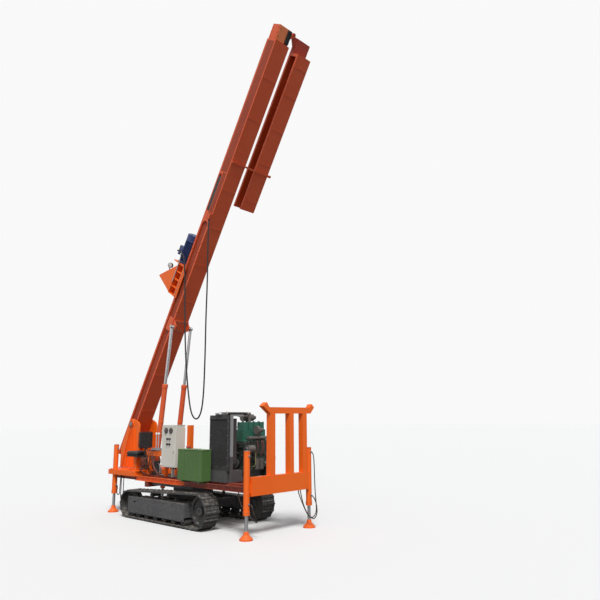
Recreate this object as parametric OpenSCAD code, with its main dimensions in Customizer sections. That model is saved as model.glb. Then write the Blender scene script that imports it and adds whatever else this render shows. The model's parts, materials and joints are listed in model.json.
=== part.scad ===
// Pile driver rig on tracks: a leaning mast with a folded upper section and a
// sliding power head, four hydraulic legs, an open engine and an operator's seat.
// X points to the rear (cradle end), Y to the far side, Z up, millimetres.

/* [Stance] */
// Distance between the front and the rear legs
leg_span = 4540; // [4200:10:5200]
// Distance across between the near and the far legs
leg_gauge = 1530; // [1400:10:1800]
// Overall width over the tracks
track_gauge = 1700; // [1600:10:1900]

/* [Tracks] */
// Width of one track shoe
shoe_w = 320; // [250:10:400]
// Radius of the belt round the front idler
idler_r = 258; // [230:2:290]
// Radius of the belt round the rear sprocket
sprocket_r = 308; // [280:2:330]
// Distance between the idler and the sprocket axles
axle_span = 2270; // [2000:10:2600]
// Distance of the sprocket axle in front of the rear legs
sprocket_from_leg = 1290; // [1150:10:1400]
// Thickness of the track belt
belt_t = 24; // [16:1:40]
// Number of shoes around one track
shoe_count = 46; // [36:1:60]
// Height of the bar that stands on each shoe
bar_h = 14; // [6:1:24]
// Width of the foot of the bar along the track
bar_w = 46; // [24:1:60]
// Number of bottom rollers on each side
roller_count = 6; // [4:1:8]
// Radius of a bottom roller
roller_r = 62; // [45:1:70]
// Length of the side plate of the track frame
side_plate_l = 1900; // [1500:10:2100]
// Height of the side plate of the track frame
side_plate_h = 310; // [220:5:360]
// Height of the lower edge of the side plate above the ground
side_plate_z = 115; // [95:5:150]

/* [Main frame] */
// Height of the top of the front platform
deck_z = 890; // [860:5:930]
// Height of the front platform's edge channel
deck_h = 100; // [70:5:120]
// Length of the front platform
deck_l = 1080; // [1000:10:1150]
// Overhang of the platform in front of the legs
deck_nose = 80; // [60:5:120]
// Half width of the main frame over its side channels
frame_half_w = 700; // [680:5:705]
// Top height of the long rails
rail_z = 830; // [800:5:850]
// Height of the long rails
rail_h = 130; // [110:5:160]
// Width of the long rails
rail_w = 100; // [70:5:120]
// Distance of each long rail's middle from the centre line
rail_y = 470; // [455:5:500]
// Height of the side channels
side_h = 90; // [60:5:110]

/* [Rear beam and cradle] */
// Height of the rear beam
beam_h = 300; // [240:5:320]
// Height of the underside of the rear beam
beam_z = 680; // [660:5:700]
// Thickness of the rear beam along the machine
beam_t = 120; // [100:5:140]
// Side of the square cradle posts
post_w = 110; // [80:5:120]
// Height of the cradle posts
post_h = 1050; // [950:10:1055]
// Height of the cradle's top bar
bar_top_h = 110; // [80:5:115]

/* [Legs] */
// How far the front legs stand behind the front mark of the frame
front_leg_back = 70; // [60:5:110]
// Distance between the two front legs
front_gauge = 1240; // [1220:10:1260]
// Outer diameter of a leg barrel
leg_d = 106; // [90:2:120]
// Height of the top of a leg barrel
leg_top = 1410; // [1300:10:1500]
// Height of the lower end of a leg barrel
leg_low = 385; // [360:5:420]
// Diameter of a leg rod
leg_rod_d = 60; // [45:1:70]
// Diameter of a foot pad
pad_d = 225; // [200:5:260]
// Height of a foot pad with its cone
pad_h = 140; // [110:5:160]
// Radial running clearance of rods in their barrels
rod_gap = 0.05; // [0.02:0.01:0.1]

/* [Mast] */
// Lean of the mast from upright as it is parked
mast_lean = 30.8; // [28:0.1:33]
// Length of the main mast
mast_l = 9650; // [9300:50:9900]
// Width of the mast across the machine
mast_w = 370; // [340:5:380]
// Depth of the mast from its front to its rear face
mast_d = 290; // [270:5:310]
// Sideways place of the mast's middle
mast_y = -90; // [-100:5:-80]
// Distance of the tilt pin from the lower end
pin_up = 880; // [840:5:900]
// Distance of the tilt pin from the front face
pin_in = 210; // [200:5:215]
// Distance from the front legs' line to the mast's tilt pin
pin_from_front = 180; // [120:10:240]
// Height of the tilt pin
pin_z = 1850; // [1840:5:1880]
// Diameter of the tilt pin
pin_d = 60; // [46:2:64]
// Thickness of the mast's edge flanges
flange_t = 45; // [30:1:60]
// Depth of the recess in each side
recess = 32; // [12:1:36]
// Wall of the mast's box section
mast_wall = 14; // [8:1:20]

/* [Upper section] */
// Length of the folded upper section
upper_l = 3420; // [3000:20:3600]
// Space between the mast and the folded section
fold_gap = 280; // [240:5:300]
// Height of the necks that meet at the fold hinge
neck_h = 302; // [260:2:330]
// Depth of the head block on the mast
head_d = 230; // [200:5:250]
// Depth of the neck on the upper section
neck_d = 100; // [90:5:130]
// Diameter of the fold hinge pin
fold_pin_d = 36; // [26:1:44]

/* [Power head] */
// Place of the carriage's lower end above the mast's lower end
head_at = 3930; // [3700:10:4200]
// Distance of the clamp bar from the foot of the mast
clamp_at = 7100; // [6900:50:7300]
// Length of the carriage along the mast
carriage_l = 700; // [600:10:760]
// Depth of the carriage in front of the mast
carriage_d = 290; // [250:5:320]
// Number of ribs of the carriage
rib_count = 5; // [3:1:7]
// Thickness of the carriage plates
plate_t = 15; // [10:1:20]
// Diameter of the drive motor
motor_d = 340; // [280:5:350]
// Length of the drive motor
motor_l = 660; // [560:10:700]
// Distance of the motor's axis in front of the mast
motor_out = 285; // [260:5:300]
// Reach of the triangular plates in front of the carriage
gusset_out = 560; // [450:10:600]
// Diameter of the drive flange
drive_d = 220; // [180:5:240]

/* [Lift cylinders] */
// Outer diameter of the lift barrels
lift_d = 110; // [90:2:120]
// Length of a barrel from its base pin
lift_l = 1990; // [1900:10:2040]
// Diameter of the lift rods
lift_rod_d = 64; // [50:2:80]
// Sideways distance of each cylinder from the mast's middle
lift_y = 245; // [243:1:255]
// Distance from the tilt pin to the lift cylinders' base pins
lift_base_from_pin = 980; // [940:10:1020]
// Height of the base pin
lift_base_z = 700; // [680:5:720]
// Top pin behind the rear face of the mast
lift_top_out = 90; // [80:5:110]
// Top pin above the tilt pin, along the mast
lift_top_up = 2490; // [2440:5:2520]

/* [Winch] */
// Diameter of the winch flanges
winch_d = 380; // [320:5:390]
// Length of the winch drum between its flanges
winch_l = 320; // [280:5:330]

/* [Cabinet and tank] */
// Width of the control cabinet
cabinet_w = 480; // [400:5:500]
// Height of the control cabinet
cabinet_h = 790; // [700:5:800]
// Depth of the control cabinet
cabinet_d = 180; // [150:5:200]
// Wall thickness of the control cabinet
cabinet_t = 4; // [2:1:8]
// Length of the green tank
tank_l = 720; // [640:5:740]
// Height of the green tank
tank_h = 555; // [480:5:580]
// Depth of the green tank
tank_d = 200; // [160:5:210]

/* [Engine and radiator] */
// Width of the radiator
rad_w = 540; // [460:5:560]
// Height of the radiator
rad_h = 980; // [880:5:985]
// Thickness of the radiator core
rad_t = 100; // [70:5:120]
// Length of the engine across the machine
engine_l = 700; // [600:10:740]
// Width of the engine block
engine_w = 440; // [380:5:480]
// Height of the engine block
engine_h = 560; // [480:5:600]

/* [Seat] */
// Width of the operator's seat
seat_w = 320; // [280:5:330]
// Depth of the seat cushion
seat_d = 450; // [380:5:480]
// Height of the seat back
seat_back_h = 340; // [300:5:380]

/* [Hidden] */
$fn = 48;

// Where two flat pieces of one body meet there is no space, where bodies move past each
// other there is this much
clear = 5;
skin = 0.3;

// Mast geometry in the machine's plane
pin_from_leg = leg_span - pin_from_front;
front_leg_x = front_leg_back - leg_span;
lift_base_from_leg = pin_from_leg - lift_base_from_pin;
s_l = sin(mast_lean);
c_l = cos(mast_lean);
fold_y = mast_y + mast_w / 2 + fold_gap / 2;
upper_y = mast_y + mast_w + fold_gap;
lug_r = 45;
head_in = 30;
hinge_up = mast_l - pin_up + neck_h + 3;
// Places along X are taken from the line of the rear legs
foot_x = -pin_from_leg - pin_up * s_l - pin_in * c_l;
head_x = -pin_from_leg + (mast_l - pin_up + neck_h) * s_l + (head_in + head_d - pin_in) * c_l;
rear_x = -(foot_x + head_x) / 2;

orange = [0.88, 0.36, 0.10];
dark_orange = [0.62, 0.24, 0.12];
black = [0.12, 0.12, 0.13];
track_grey = [0.20, 0.20, 0.21];
steel = [0.62, 0.62, 0.62];
green = [0.33, 0.44, 0.22];
engine_green = [0.10, 0.34, 0.26];
cream = [0.80, 0.77, 0.70];
motor_blue = [0.16, 0.22, 0.45];
grey = [0.45, 0.46, 0.48];
rope_brown = [0.30, 0.18, 0.14];

// Puts children, whose X counts from the line of the rear legs, into the rig's frame
module from_leg() { translate([rear_x, 0, 0]) children(); }

// Puts children from the mast's own frame into the rig's frame. The mast's frame has
// its origin on the tilt pin, Z along the mast and X towards its rear face
module on_mast() {
    from_leg() translate([-pin_from_leg, mast_y, pin_z]) rotate([0, mast_lean, 0]) children();
}

// A box given by its two corners
module block(low, high) { translate(low) cube(high - low); }

// A round bar along Y between two places
module bar_y(r, y0, y1) { translate([0, y0, 0]) rotate([-90, 0, 0]) cylinder(r = r, h = y1 - y0); }

// A round bar along X between two places
module bar_x(r, x0, x1) { translate([x0, 0, 0]) rotate([0, 90, 0]) cylinder(r = r, h = x1 - x0); }

// An outline in the XZ plane, extruded along Y between two places
module slab_y(y0, y1) {
    translate([0, y1, 0]) rotate([90, 0, 0]) linear_extrude(y1 - y0) children();
}

// An outline in the YZ plane, extruded along X between two places
module slab_x(x0, x1) {
    translate([x0, 0, 0]) rotate([90, 0, 90]) linear_extrude(x1 - x0) children();
}

// Tracks. The belt runs level on the ground and rises from the idler to the sprocket
sprocket_x = -sprocket_from_leg;
idler_x = sprocket_x - axle_span;
rise = atan2(sprocket_r - idler_r, axle_span);
track_y = track_gauge / 2 - shoe_w / 2;
front_arc = idler_r * (180 - 2 * rise) * PI / 180;
rear_arc = sprocket_r * (180 + 2 * rise) * PI / 180;
loop_len = 2 * axle_span + front_arc + rear_arc;
idler_c = [idler_x, bar_h + idler_r];
sprocket_c = [sprocket_x, bar_h + sprocket_r];
up_side = [-sin(2 * rise), cos(2 * rise)];

// Outline of the belt's path, taken in by a distance
module loop_outline(inset) {
    front_r = idler_r - inset;
    rear_r = sprocket_r - inset;
    translate(idler_c) circle(r = front_r);
    translate(sprocket_c) circle(r = rear_r);
    polygon([idler_c - [0, front_r], sprocket_c - [0, rear_r], sprocket_c,
        sprocket_c + rear_r * up_side, idler_c + front_r * up_side, idler_c]);
}

// Place on the belt and direction of its outer side, at a distance s from the rear end
// of the level run: level run, idler, upper run, sprocket
function on_loop(s) =
    s < axle_span ? [sprocket_c - [s, sprocket_r], -90] :
    s < axle_span + front_arc ?
        let (a = 270 - (s - axle_span) / idler_r * 180 / PI)
        [idler_c + idler_r * [cos(a), sin(a)], a] :
    s < 2 * axle_span + front_arc ?
        let (k = (s - axle_span - front_arc) / axle_span)
        [(1 - k) * (idler_c + idler_r * up_side) + k * (sprocket_c + sprocket_r * up_side),
         90 + 2 * rise] :
        let (a = 90 + 2 * rise - (s - 2 * axle_span - front_arc) / sprocket_r * 180 / PI)
        [sprocket_c + sprocket_r * [cos(a), sin(a)], a];

// Corners of one shoe's bar: the share of the bar's width along the belt, and whether
// the corner is raised
BAR = [[-0.5, 0], [-0.25, 1], [0.25, 1], [0.5, 0]];

function shoe_points(i) = [for (k = BAR)
    let (q = on_loop((i + 0.5) * loop_len / shoe_count + k[0] * bar_w))
    q[0] + k[1] * bar_h * [cos(q[1]), sin(q[1])]];

module track(side) {
    color(track_grey) from_leg()
        slab_y(side * track_y - shoe_w / 2, side * track_y + shoe_w / 2) difference() {
            polygon([for (i = [0:shoe_count - 1]) each shoe_points(i)]);
            loop_outline(belt_t);
        }
}

// Track frame: a box beam with the side plate outside, stubs for the upper run and a
// fork at each end for the axles
frame_y_in = track_gauge / 2 - shoe_w + 40;
frame_y_out = track_gauge / 2 - 18;
beam_top = side_plate_z + side_plate_h;
side_x0 = idler_x + 30;
beam_x0 = idler_x + idler_r + 10;
beam_x1 = sprocket_x - sprocket_r - 10;
axle_r = 30;
stub_places = [-2780, -2220];
carrier_r = 38;

// Height of a carrier roller's axle under the belt's upper run, at a place along X
function carrier_z(x) = idler_c[1] + idler_r - belt_t - carrier_r - 6
    + (x - idler_x) / axle_span * 2 * (sprocket_r - idler_r);
fork_t = 20;

module track_frame(side) {
    color(track_grey) from_leg() mirror([0, side < 0 ? 1 : 0, 0]) difference() {
        union() {
            block([beam_x0, frame_y_in, side_plate_z + 70],
                  [beam_x1, frame_y_out - 12, beam_top]);
            block([side_x0, frame_y_out - 12, side_plate_z],
                  [side_x0 + side_plate_l, frame_y_out, beam_top]);
            for (x = stub_places)
                block([x - 25, frame_y_in, beam_top], [x + 25, frame_y_in + 40, carrier_z(x) + 25]);
            block([idler_x - 50, frame_y_in, idler_c[1] - 50],
                  [beam_x0, frame_y_in + fork_t, idler_c[1] + 50]);
            block([beam_x1, frame_y_in, sprocket_c[1] - 60],
                  [sprocket_x + 60, frame_y_in + fork_t, sprocket_c[1] + 60]);
        }
        for (c = [idler_c, sprocket_c])
            translate([c[0], 0, c[1]]) bar_y(axle_r, 0, track_gauge);
        block([side_x0 + 190, frame_y_out - 13, beam_top - 110],
              [side_x0 + 330, frame_y_out + 1, beam_top - 80]);
    }
}

// Idler, sprocket and rollers stand still with the frame
wheel_w = 120;
wheel_y = frame_y_in + fork_t + 8;
roller_x0 = idler_x + idler_r + roller_r + 40;
roller_step = (sprocket_x - sprocket_r - roller_r - 40 - roller_x0) / (roller_count - 1);
roller_z = bar_h + belt_t + roller_r;

tooth_count = 22;
tooth_h = 16;

// Outline of the sprocket: each tooth has a root, a flank up, a tip and a flank down
TOOTH = [[0, 0], [0.3, 0], [0.42, 1], [0.68, 1], [0.8, 0]];

module sprocket_outline(r) {
    polygon([for (i = [0:tooth_count - 1]) for (k = TOOTH)
        let (a = (i + k[0]) * 360 / tooth_count) (r - tooth_h + k[1] * tooth_h) * [cos(a), sin(a)]]);
}

module wheel(c, r) {
    translate([c[0], 0, c[1]]) {
        difference() {
            if (r > idler_r) slab_y(wheel_y, wheel_y + wheel_w) sprocket_outline(r - 1);
            else bar_y(r, wheel_y, wheel_y + wheel_w);
            bar_y(r - 60, wheel_y + wheel_w - 34, wheel_y + wheel_w + 1);
        }
        bar_y(axle_r, frame_y_in - 20, wheel_y);
        bar_y(75, wheel_y + wheel_w - 30, wheel_y + wheel_w + 12);
    }
}

module wheels(side) {
    color(black) from_leg() mirror([0, side < 0 ? 1 : 0, 0]) {
        wheel(idler_c, idler_r - belt_t);
        wheel(sprocket_c, sprocket_r - belt_t);
        for (i = [0:roller_count - 1]) translate([roller_x0 + i * roller_step, 0, roller_z]) {
            bar_y(roller_r, frame_y_in + 70, frame_y_out - 40);
            bar_y(24, frame_y_in + 20, frame_y_out - 12);
        }
        for (x = stub_places) translate([x, 0, carrier_z(x)])
            bar_y(carrier_r, frame_y_in + 40, frame_y_out - 50);
    }
}

// Cross frame between the two tracks with the pedestal that carries the main frame
cross_places = [-3000, -1950];
cross_z0 = 240;
pedestal = 620;

module cross_frame() {
    color(black) from_leg() {
        for (x = cross_places)
            block([x - 90, -frame_y_in, cross_z0], [x + 90, frame_y_in, cross_z0 + 160]);
        block([cross_places[0] + 90, -pedestal / 2, cross_z0 + 20],
              [cross_places[1] - 90, pedestal / 2, cross_z0 + 160]);
        block([cross_places[0] + 200, -pedestal / 2 + 60, cross_z0 + 160],
              [cross_places[1] - 200, pedestal / 2 - 60, rail_z - rail_h - 60]);
        block([cross_places[0] - 150, -rail_y - rail_w / 2, rail_z - rail_h - 60],
              [cross_places[1] + 150, rail_y + rail_w / 2, rail_z - rail_h]);
    }
}

// Main frame: two long rails, cross members, side channels and the ears of the lift
// cylinders' base pins
deck_x0 = -leg_span - deck_nose;
deck_x1 = deck_x0 + deck_l;
member_behind_lift = 340;
member_places = [member_behind_lift - lift_base_from_leg, -2500, -1900, -1320, -720];
member_w = 80;
side_z1 = rail_z - 20;
ear_t = 20;
ear_y = 38;
base_pin_d = 50;

module main_frame() {
    color(dark_orange) from_leg() {
        for (side = [-1, 1]) {
            block([deck_x0 + 60, side * rail_y - rail_w / 2, rail_z - rail_h],
                  [deck_x1, side * rail_y + rail_w / 2, deck_z - deck_h]);
            block([deck_x1, side * rail_y - rail_w / 2, rail_z - rail_h],
                  [-beam_t / 2, side * rail_y + rail_w / 2, rail_z]);
            difference() {
                block([deck_x1, side > 0 ? frame_half_w - 50 : -frame_half_w, side_z1 - side_h],
                      [-beam_t / 2, side > 0 ? frame_half_w : -frame_half_w + 50, side_z1]);
                block([deck_x1 - 1, side > 0 ? frame_half_w - 42 : -frame_half_w - 1,
                       side_z1 - side_h + 8],
                      [-beam_t / 2 + 1, side > 0 ? frame_half_w + 1 : -frame_half_w + 42,
                       side_z1 - 8]);
            }
        }
        for (x = member_places)
            block([x - member_w / 2, -frame_half_w + 42, side_z1 - 70],
                  [x + member_w / 2, frame_half_w - 42, side_z1 - 8]);
        block([member_places[3], engine_y0 + 60, side_z1 - 70],
              [member_places[4], engine_y0 + 160, rail_z]);
        translate([-lift_base_from_leg, mast_y, lift_base_z]) difference() {
            union() {
                block([-60, -rail_y - mast_y, -115], [60, rail_y - mast_y, -60]);
                for (side = [-1, 1]) for (k = [-1, 1])
                    slab_y(side * lift_y + k * (ear_y + ear_t / 2) - ear_t / 2,
                           side * lift_y + k * (ear_y + ear_t / 2) + ear_t / 2)
                        union() {
                            circle(r = 40);
                            polygon([[-60, -61], [60, -61], [36, 0], [-36, 0]]);
                        }
                for (side = [-1, 1])
                    bar_y(base_pin_d / 2, side * lift_y - ear_y - ear_t - 6,
                          side * lift_y + ear_y + ear_t + 6);
            }
        }
        for (side = [-1, 1])
            block([-lift_base_from_leg - 60, side * rail_y - rail_w / 2, lift_base_z - 115],
                  [-lift_base_from_leg + 60, side * rail_y + rail_w / 2, rail_z - rail_h]);
    }
}

// Front platform, open in its middle for the winch
winch_rim = 10;
hole_half = winch_l / 2 + winch_rim + 18;
winch_x = -leg_span + 555;
hole_x0 = winch_x - 215;
hole_x1 = winch_x + 215;

collar_w = 78;

module front_platform() {
    color(orange) from_leg() difference() {
        block([deck_x0, -frame_half_w, deck_z - deck_h], [deck_x1, frame_half_w, deck_z]);
        for (y = [[-frame_half_w + 8, mast_y - hole_half - 8], [mast_y + hole_half + 8, frame_half_w - 8]])
            block([deck_x0 + 8, y[0], deck_z - deck_h - 1], [deck_x1 - 8, y[1], deck_z - 8]);
        block([deck_x0 + 8, mast_y - hole_half, deck_z - deck_h - 1],
              [hole_x0 - 8, mast_y + hole_half, deck_z - 8]);
        block([hole_x1 + 8, mast_y - hole_half, deck_z - deck_h - 1],
              [deck_x1 - 8, mast_y + hole_half, deck_z - 8]);
        block([hole_x0, mast_y - hole_half, deck_z - deck_h - 1],
              [hole_x1, mast_y + hole_half, deck_z + 1]);
        for (side = [-1, 1]) translate([front_leg_x, leg_y(front_leg_x, side), deck_z - deck_h - 1])
            cylinder(r = leg_d / 2 + clear, h = deck_h + 2);
    }
}

// Rear beam, a hollow box between the rear legs
module rear_beam() {
    color(orange) from_leg() difference() {
        block([-beam_t / 2, -frame_half_w, beam_z], [beam_t / 2, frame_half_w, beam_z + beam_h]);
        block([-beam_t / 2 + 10, -frame_half_w + 10, beam_z + 10],
              [beam_t / 2 - 10, frame_half_w - 10, beam_z + beam_h - 10]);
    }
}

// Cradle: three square posts and a top bar with an upturned horn at each end. The
// horns rise beside the lowered mast and beside the lowered upper section
post_places = [-205, 265, 615];
cradle_z = beam_z + beam_h;
horn_h = 85;
horn_w = 60;
bar_y0 = mast_y - mast_w / 2 - 20;
bar_y1 = upper_y + mast_w / 2 + 12;

module cradle() {
    color(orange) from_leg() {
        for (y = post_places)
            block([-post_w / 2, y - post_w / 2, cradle_z],
                  [post_w / 2, y + post_w / 2, cradle_z + post_h]);
        translate([0, 0, cradle_z + post_h]) slab_x(-post_w / 2, post_w / 2)
            polygon([[bar_y0 + 30, 0], [bar_y1 + 20, 0],
                [bar_y1 + 2 * horn_w, bar_top_h], [bar_y1 + horn_w, bar_top_h + horn_h - 20],
                [bar_y1, bar_top_h], [bar_y0, bar_top_h],
                [bar_y0 - horn_w, bar_top_h + horn_h], [bar_y0 - 2.5 * horn_w, bar_top_h + 20]]);
    }
}

// Legs: a barrel on the frame and a rod with a cone foot that slides in it
leg_rod_top = leg_top - 330;

function leg_y(x, side) = side * (x < 0 ? front_gauge : leg_gauge) / 2;

module leg_tube(x, side) {
    color(orange) from_leg() translate([x, leg_y(x, side), 0]) difference() {
        union() {
            translate([0, 0, leg_low]) cylinder(d = leg_d, h = leg_top - leg_low);
            translate([0, 0, leg_low]) cylinder(d = leg_d + 8, h = 70);
            translate([0, 0, leg_top - 12]) cylinder(d = leg_d + 8, h = 12);
            if (x < 0) block([-collar_w, -collar_w, deck_z], [collar_w, collar_w, deck_z + 14]);
            else block([-35, side > 0 ? frame_half_w - leg_gauge / 2 : 0, deck_z - deck_h - 60],
                       [35, side > 0 ? 0 : leg_gauge / 2 - frame_half_w, deck_z - 20]);
        }
        translate([0, 0, leg_low - 1])
            cylinder(r = leg_rod_d / 2 + rod_gap, h = leg_top - leg_low - 40);
    }
}

module leg_foot(x, side) {
    color(orange) from_leg() translate([x, leg_y(x, side), 0]) rotate_extrude()
        polygon([[0, 0], [pad_d / 2, 0], [pad_d / 2, 22], [leg_rod_d / 2 + 18, pad_h * 0.62],
            [leg_rod_d / 2 + 10, pad_h], [leg_rod_d / 2, pad_h], [leg_rod_d / 2, leg_rod_top],
            [0, leg_rod_top]]);
}

// Mast stand: two ribbed cheeks with the bore of the tilt pin. The ribs fan out from
// under the pin, each from a place at its top to one at its foot
cheek_t = 40;
cheek_gap = 15;
cheek_y = mast_w / 2 + cheek_gap;
stand_x0 = -leg_span - 240;
stand_x1 = -leg_span + 470;
stand_r = 120;
rib_h = 25;
rib_w = 16;
rib_top_step = 45;
rib_foot_step = 135;
rib_top_z = pin_z - 110;

module cheek_outline() {
    front = [-pin_from_leg - stand_r * c_l, pin_z + stand_r * s_l];
    back_c = [stand_x1 - stand_r, pin_z - 60];
    translate([-pin_from_leg, pin_z]) circle(r = stand_r);
    translate(back_c) circle(r = stand_r);
    polygon([[stand_x0, deck_z], [stand_x0, 1300], front, [-pin_from_leg + 35, pin_z + stand_r - 5],
        back_c + [35, stand_r - 5], back_c + [stand_r, 0], [stand_x1, deck_z]]);
}

module mast_stand() {
    color(orange) from_leg() translate([0, mast_y, 0]) for (side = [-1, 1]) mirror([0, side < 0 ? 1 : 0, 0])
        difference() {
            union() {
                slab_y(cheek_y, cheek_y + cheek_t) cheek_outline();
                for (i = [-2:2]) {
                    top = -pin_from_leg + 40 + i * rib_top_step;
                    foot = (stand_x0 + stand_x1) / 2 + i * rib_foot_step;
                    slab_y(cheek_y + cheek_t, cheek_y + cheek_t + rib_h)
                        polygon([[foot - rib_w / 2, deck_z], [foot + rib_w / 2, deck_z],
                            [top + rib_w / 2, rib_top_z], [top - rib_w / 2, rib_top_z]]);
                }
                block([stand_x0, cheek_y, deck_z], [stand_x1, cheek_y + cheek_t + rib_h + 20, deck_z + 18]);
                translate([-pin_from_leg, 0, pin_z]) bar_y(80, cheek_y + cheek_t, cheek_y + cheek_t + 20);
            }
            translate([-pin_from_leg, 0, pin_z]) bar_y(pin_d / 2 + rod_gap, 0, 400);
        }
}

// Mast beam: a box section with recessed sides and the tilt pin through it
foot_up = -pin_up;
top_up = mast_l - pin_up;

module mast_section() {
    difference() {
        translate([-pin_in, -mast_w / 2]) square([mast_d, mast_w]);
        translate([-pin_in - 1, -75]) square([26, 150]);
    }
}

// Pockets in the mast's sides: both ends of each, counted from the mast's foot, and both
// edges, counted from its front face
POCKETS = [[-200, 5750, flange_t, mast_d - flange_t], [5970, 6790, 28, 122]];

module side_pocket(p) {
    middle = (p[2] + p[3]) / 2 - pin_in;
    half = (p[3] - p[2]) / 2;
    for (side = [-1, 1])
        slab_y(side > 0 ? mast_w / 2 - recess : -mast_w / 2 - 1,
               side > 0 ? mast_w / 2 + 1 : recess - mast_w / 2)
            polygon(concat([[middle - half, foot_up + p[0]], [middle + half, foot_up + p[0]]],
                [for (a = [0:20:180])
                    [middle + half * cos(a), foot_up + p[1] - half + half * sin(a)]]));
}

// Hollow of the mast, with the pin's bulkhead left between its two stretches
bulkhead = 150;

module mast_hollow(z0, z1) {
    block([-pin_in + 25 + mast_wall, -mast_w / 2 + recess + mast_wall, z0],
          [-pin_in + mast_d - mast_wall, mast_w / 2 - recess - mast_wall, z1]);
}

// Box that the power cable goes into, on the mast's rear edge
junction_up = 4940;
junction_n = 20;
junction_w = 60;

module mast_beam() {
    color(orange) on_mast() {
        difference() {
            translate([0, 0, foot_up]) linear_extrude(mast_l) mast_section();
            for (p = POCKETS) side_pocket(p);
            mast_hollow(foot_up - 1, -bulkhead);
            mast_hollow(bulkhead, top_up - 20);
        }
        bar_y(pin_d / 2, -cheek_y - cheek_t - 30, cheek_y + cheek_t + 30);
        block([junction_n, -mast_w / 2 - junction_w, junction_up],
              [junction_n + junction_w, -mast_w / 2, junction_up + 2 * junction_w]);
    }
}

// Bracket behind the mast for the two lift rods
lift_rear = mast_d - pin_in;
lift_inner = lift_y - lift_rod_d / 2 - 28;

module lift_bracket() {
    color(orange) on_mast() translate([0, 0, lift_top_up]) {
        block([lift_rear, -mast_w / 2, -130], [lift_rear + 30, mast_w / 2, 130]);
        for (side = [-1, 1])
            block([flange_t + 60 - pin_in, side > 0 ? mast_w / 2 : -mast_w / 2 - 12, -150],
                  [lift_rear - 12, side > 0 ? mast_w / 2 + 12 : -mast_w / 2, 150]);
        for (side = [-1, 1]) for (y = [lift_y - lift_rod_d / 2 - 30])
            slab_y(side > 0 ? y - 20 : -y, side > 0 ? y : -y + 20)
                polygon([[lift_rear + 30, -110], [lift_rear + lift_top_out + 40, -45],
                    [lift_rear + lift_top_out + 40, 45], [lift_rear + 30, 110]]);
    }
}

// Head of the mast with the two outer lugs of the fold hinge. The hinge's pin lies
// along X of the mast's frame, and the neck's lug sits between the head's lugs
neck_y1 = 150;
fold_dy = fold_y - mast_y;
outer_lugs = [[14, 44], [92, 122]];
inner_lug = [50, 86];
lug_root_z = top_up + 60;

module hinge_lug(n, y_root) {
    slab_x(n[0] - pin_in, n[1] - pin_in) difference() {
        union() {
            translate([fold_dy, hinge_up]) circle(r = lug_r);
            polygon([[y_root, lug_root_z], [y_root, hinge_up - 3], [fold_dy, hinge_up - 3],
                [fold_dy, hinge_up - lug_r + 2]]);
        }
        translate([fold_dy, hinge_up]) circle(d = fold_pin_d + 2 * rod_gap);
    }
}

module mast_head() {
    color(orange) on_mast() {
        block([head_in - pin_in, -mast_w / 2, top_up], [head_in + head_d - pin_in, neck_y1, top_up + neck_h]);
        block([outer_lugs[0][0] - pin_in, neck_y1 - 60, lug_root_z - 60],
              [head_in - pin_in, neck_y1, hinge_up - 3]);
        for (n = outer_lugs) hinge_lug(n, neck_y1 - 1);
    }
}

module clamp_bar() {
    color(dark_orange) on_mast() translate([mast_d - pin_in, 0, clamp_at - pin_up]) {
        block([0, -mast_w / 2, -20], [clear, mast_w / 2, 20]);
        block([clear, -mast_w / 2, -20], [clear + 30, mast_w + fold_gap + mast_w / 2 + 20, 20]);
        translate([0, mast_w + fold_gap + mast_w / 2 + 20, 0]) bar_x(28, clear, clear + 60);
    }
}

module mast_strip() {
    p = POCKETS[1];
    color(black) on_mast() translate([0, 0, foot_up])
        block([p[2] - pin_in, -mast_w / 2 + clear, p[0] + 15],
              [p[3] - pin_in, -mast_w / 2 + recess, p[1] - (p[3] - p[2]) / 2 - 5]);
}

// Power cable, which hangs in a long bight from the motor's gland to the junction box.
// Its points are in the rig's frame
cable_d = 30;
cable_sides = 10;
cable_steps = 4;
CABLE = [[-570, -206, 5626], [-570, -262, 5622], [-520, -318, 5600], [-430, -336, 5565],
    [-310, -336, 5470], [-244, -336, 5340], [-215, -336, 5150], [-189, -336, 4870],
    [-143, -336, 3995], [-63, -336, 3146], [60, -336, 2450], [180, -336, 2070],
    [340, -336, 1950], [480, -336, 2070], [550, -336, 2420], [572, -336, 3100],
    [573, -336, 3907], [586, -336, 4737], [572, -330, 5500], [556, -316, 5850],
    [545, -306, 6054]];

// A point between b and c, a share k of the way, on the smooth curve through a, b, c and d
function between(a, b, c, d, k) = 0.5 * (2 * b + (c - a) * k
    + (2 * a - 5 * b + 4 * c - d) * pow(k, 2) + (3 * b - a - 3 * c + d) * pow(k, 3));

function curve_points(pts, steps) = let (m = len(pts)) concat(
    [for (i = [0:m - 2]) for (k = [0:steps - 1])
        between(pts[max(i - 1, 0)], pts[i], pts[i + 1], pts[min(i + 2, m - 1)], k / steps)],
    [pts[m - 1]]);

// Tube round the points of a curve
module tube(c, d, sides) {
    m = len(c);
    function unit(v) = v / norm(v);
    rings = [for (i = [0:m - 1])
        let (t = unit(c[min(i + 1, m - 1)] - c[max(i - 1, 0)]), u = unit(cross(t, [1, 1, 0])),
             v = cross(t, u))
        for (k = [0:sides - 1]) c[i] + d / 2 * (cos(k * 360 / sides) * u + sin(k * 360 / sides) * v)];
    polyhedron(rings, concat(
        [for (i = [0:m - 2]) for (k = [0:sides - 1]) each
            let (n = (k + 1) % sides, p = i * sides, q = p + sides)
            [[p + k, q + k, q + n], [p + k, q + n, p + n]]],
        [for (k = [1:sides - 2]) [0, k, k + 1]],
        [for (k = [1:sides - 2]) (m - 1) * sides * [1, 1, 1] + [0, k + 1, k]]));
}

module power_cable() {
    color(black) tube(curve_points(CABLE, cable_steps), cable_d, cable_sides);
}

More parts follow.
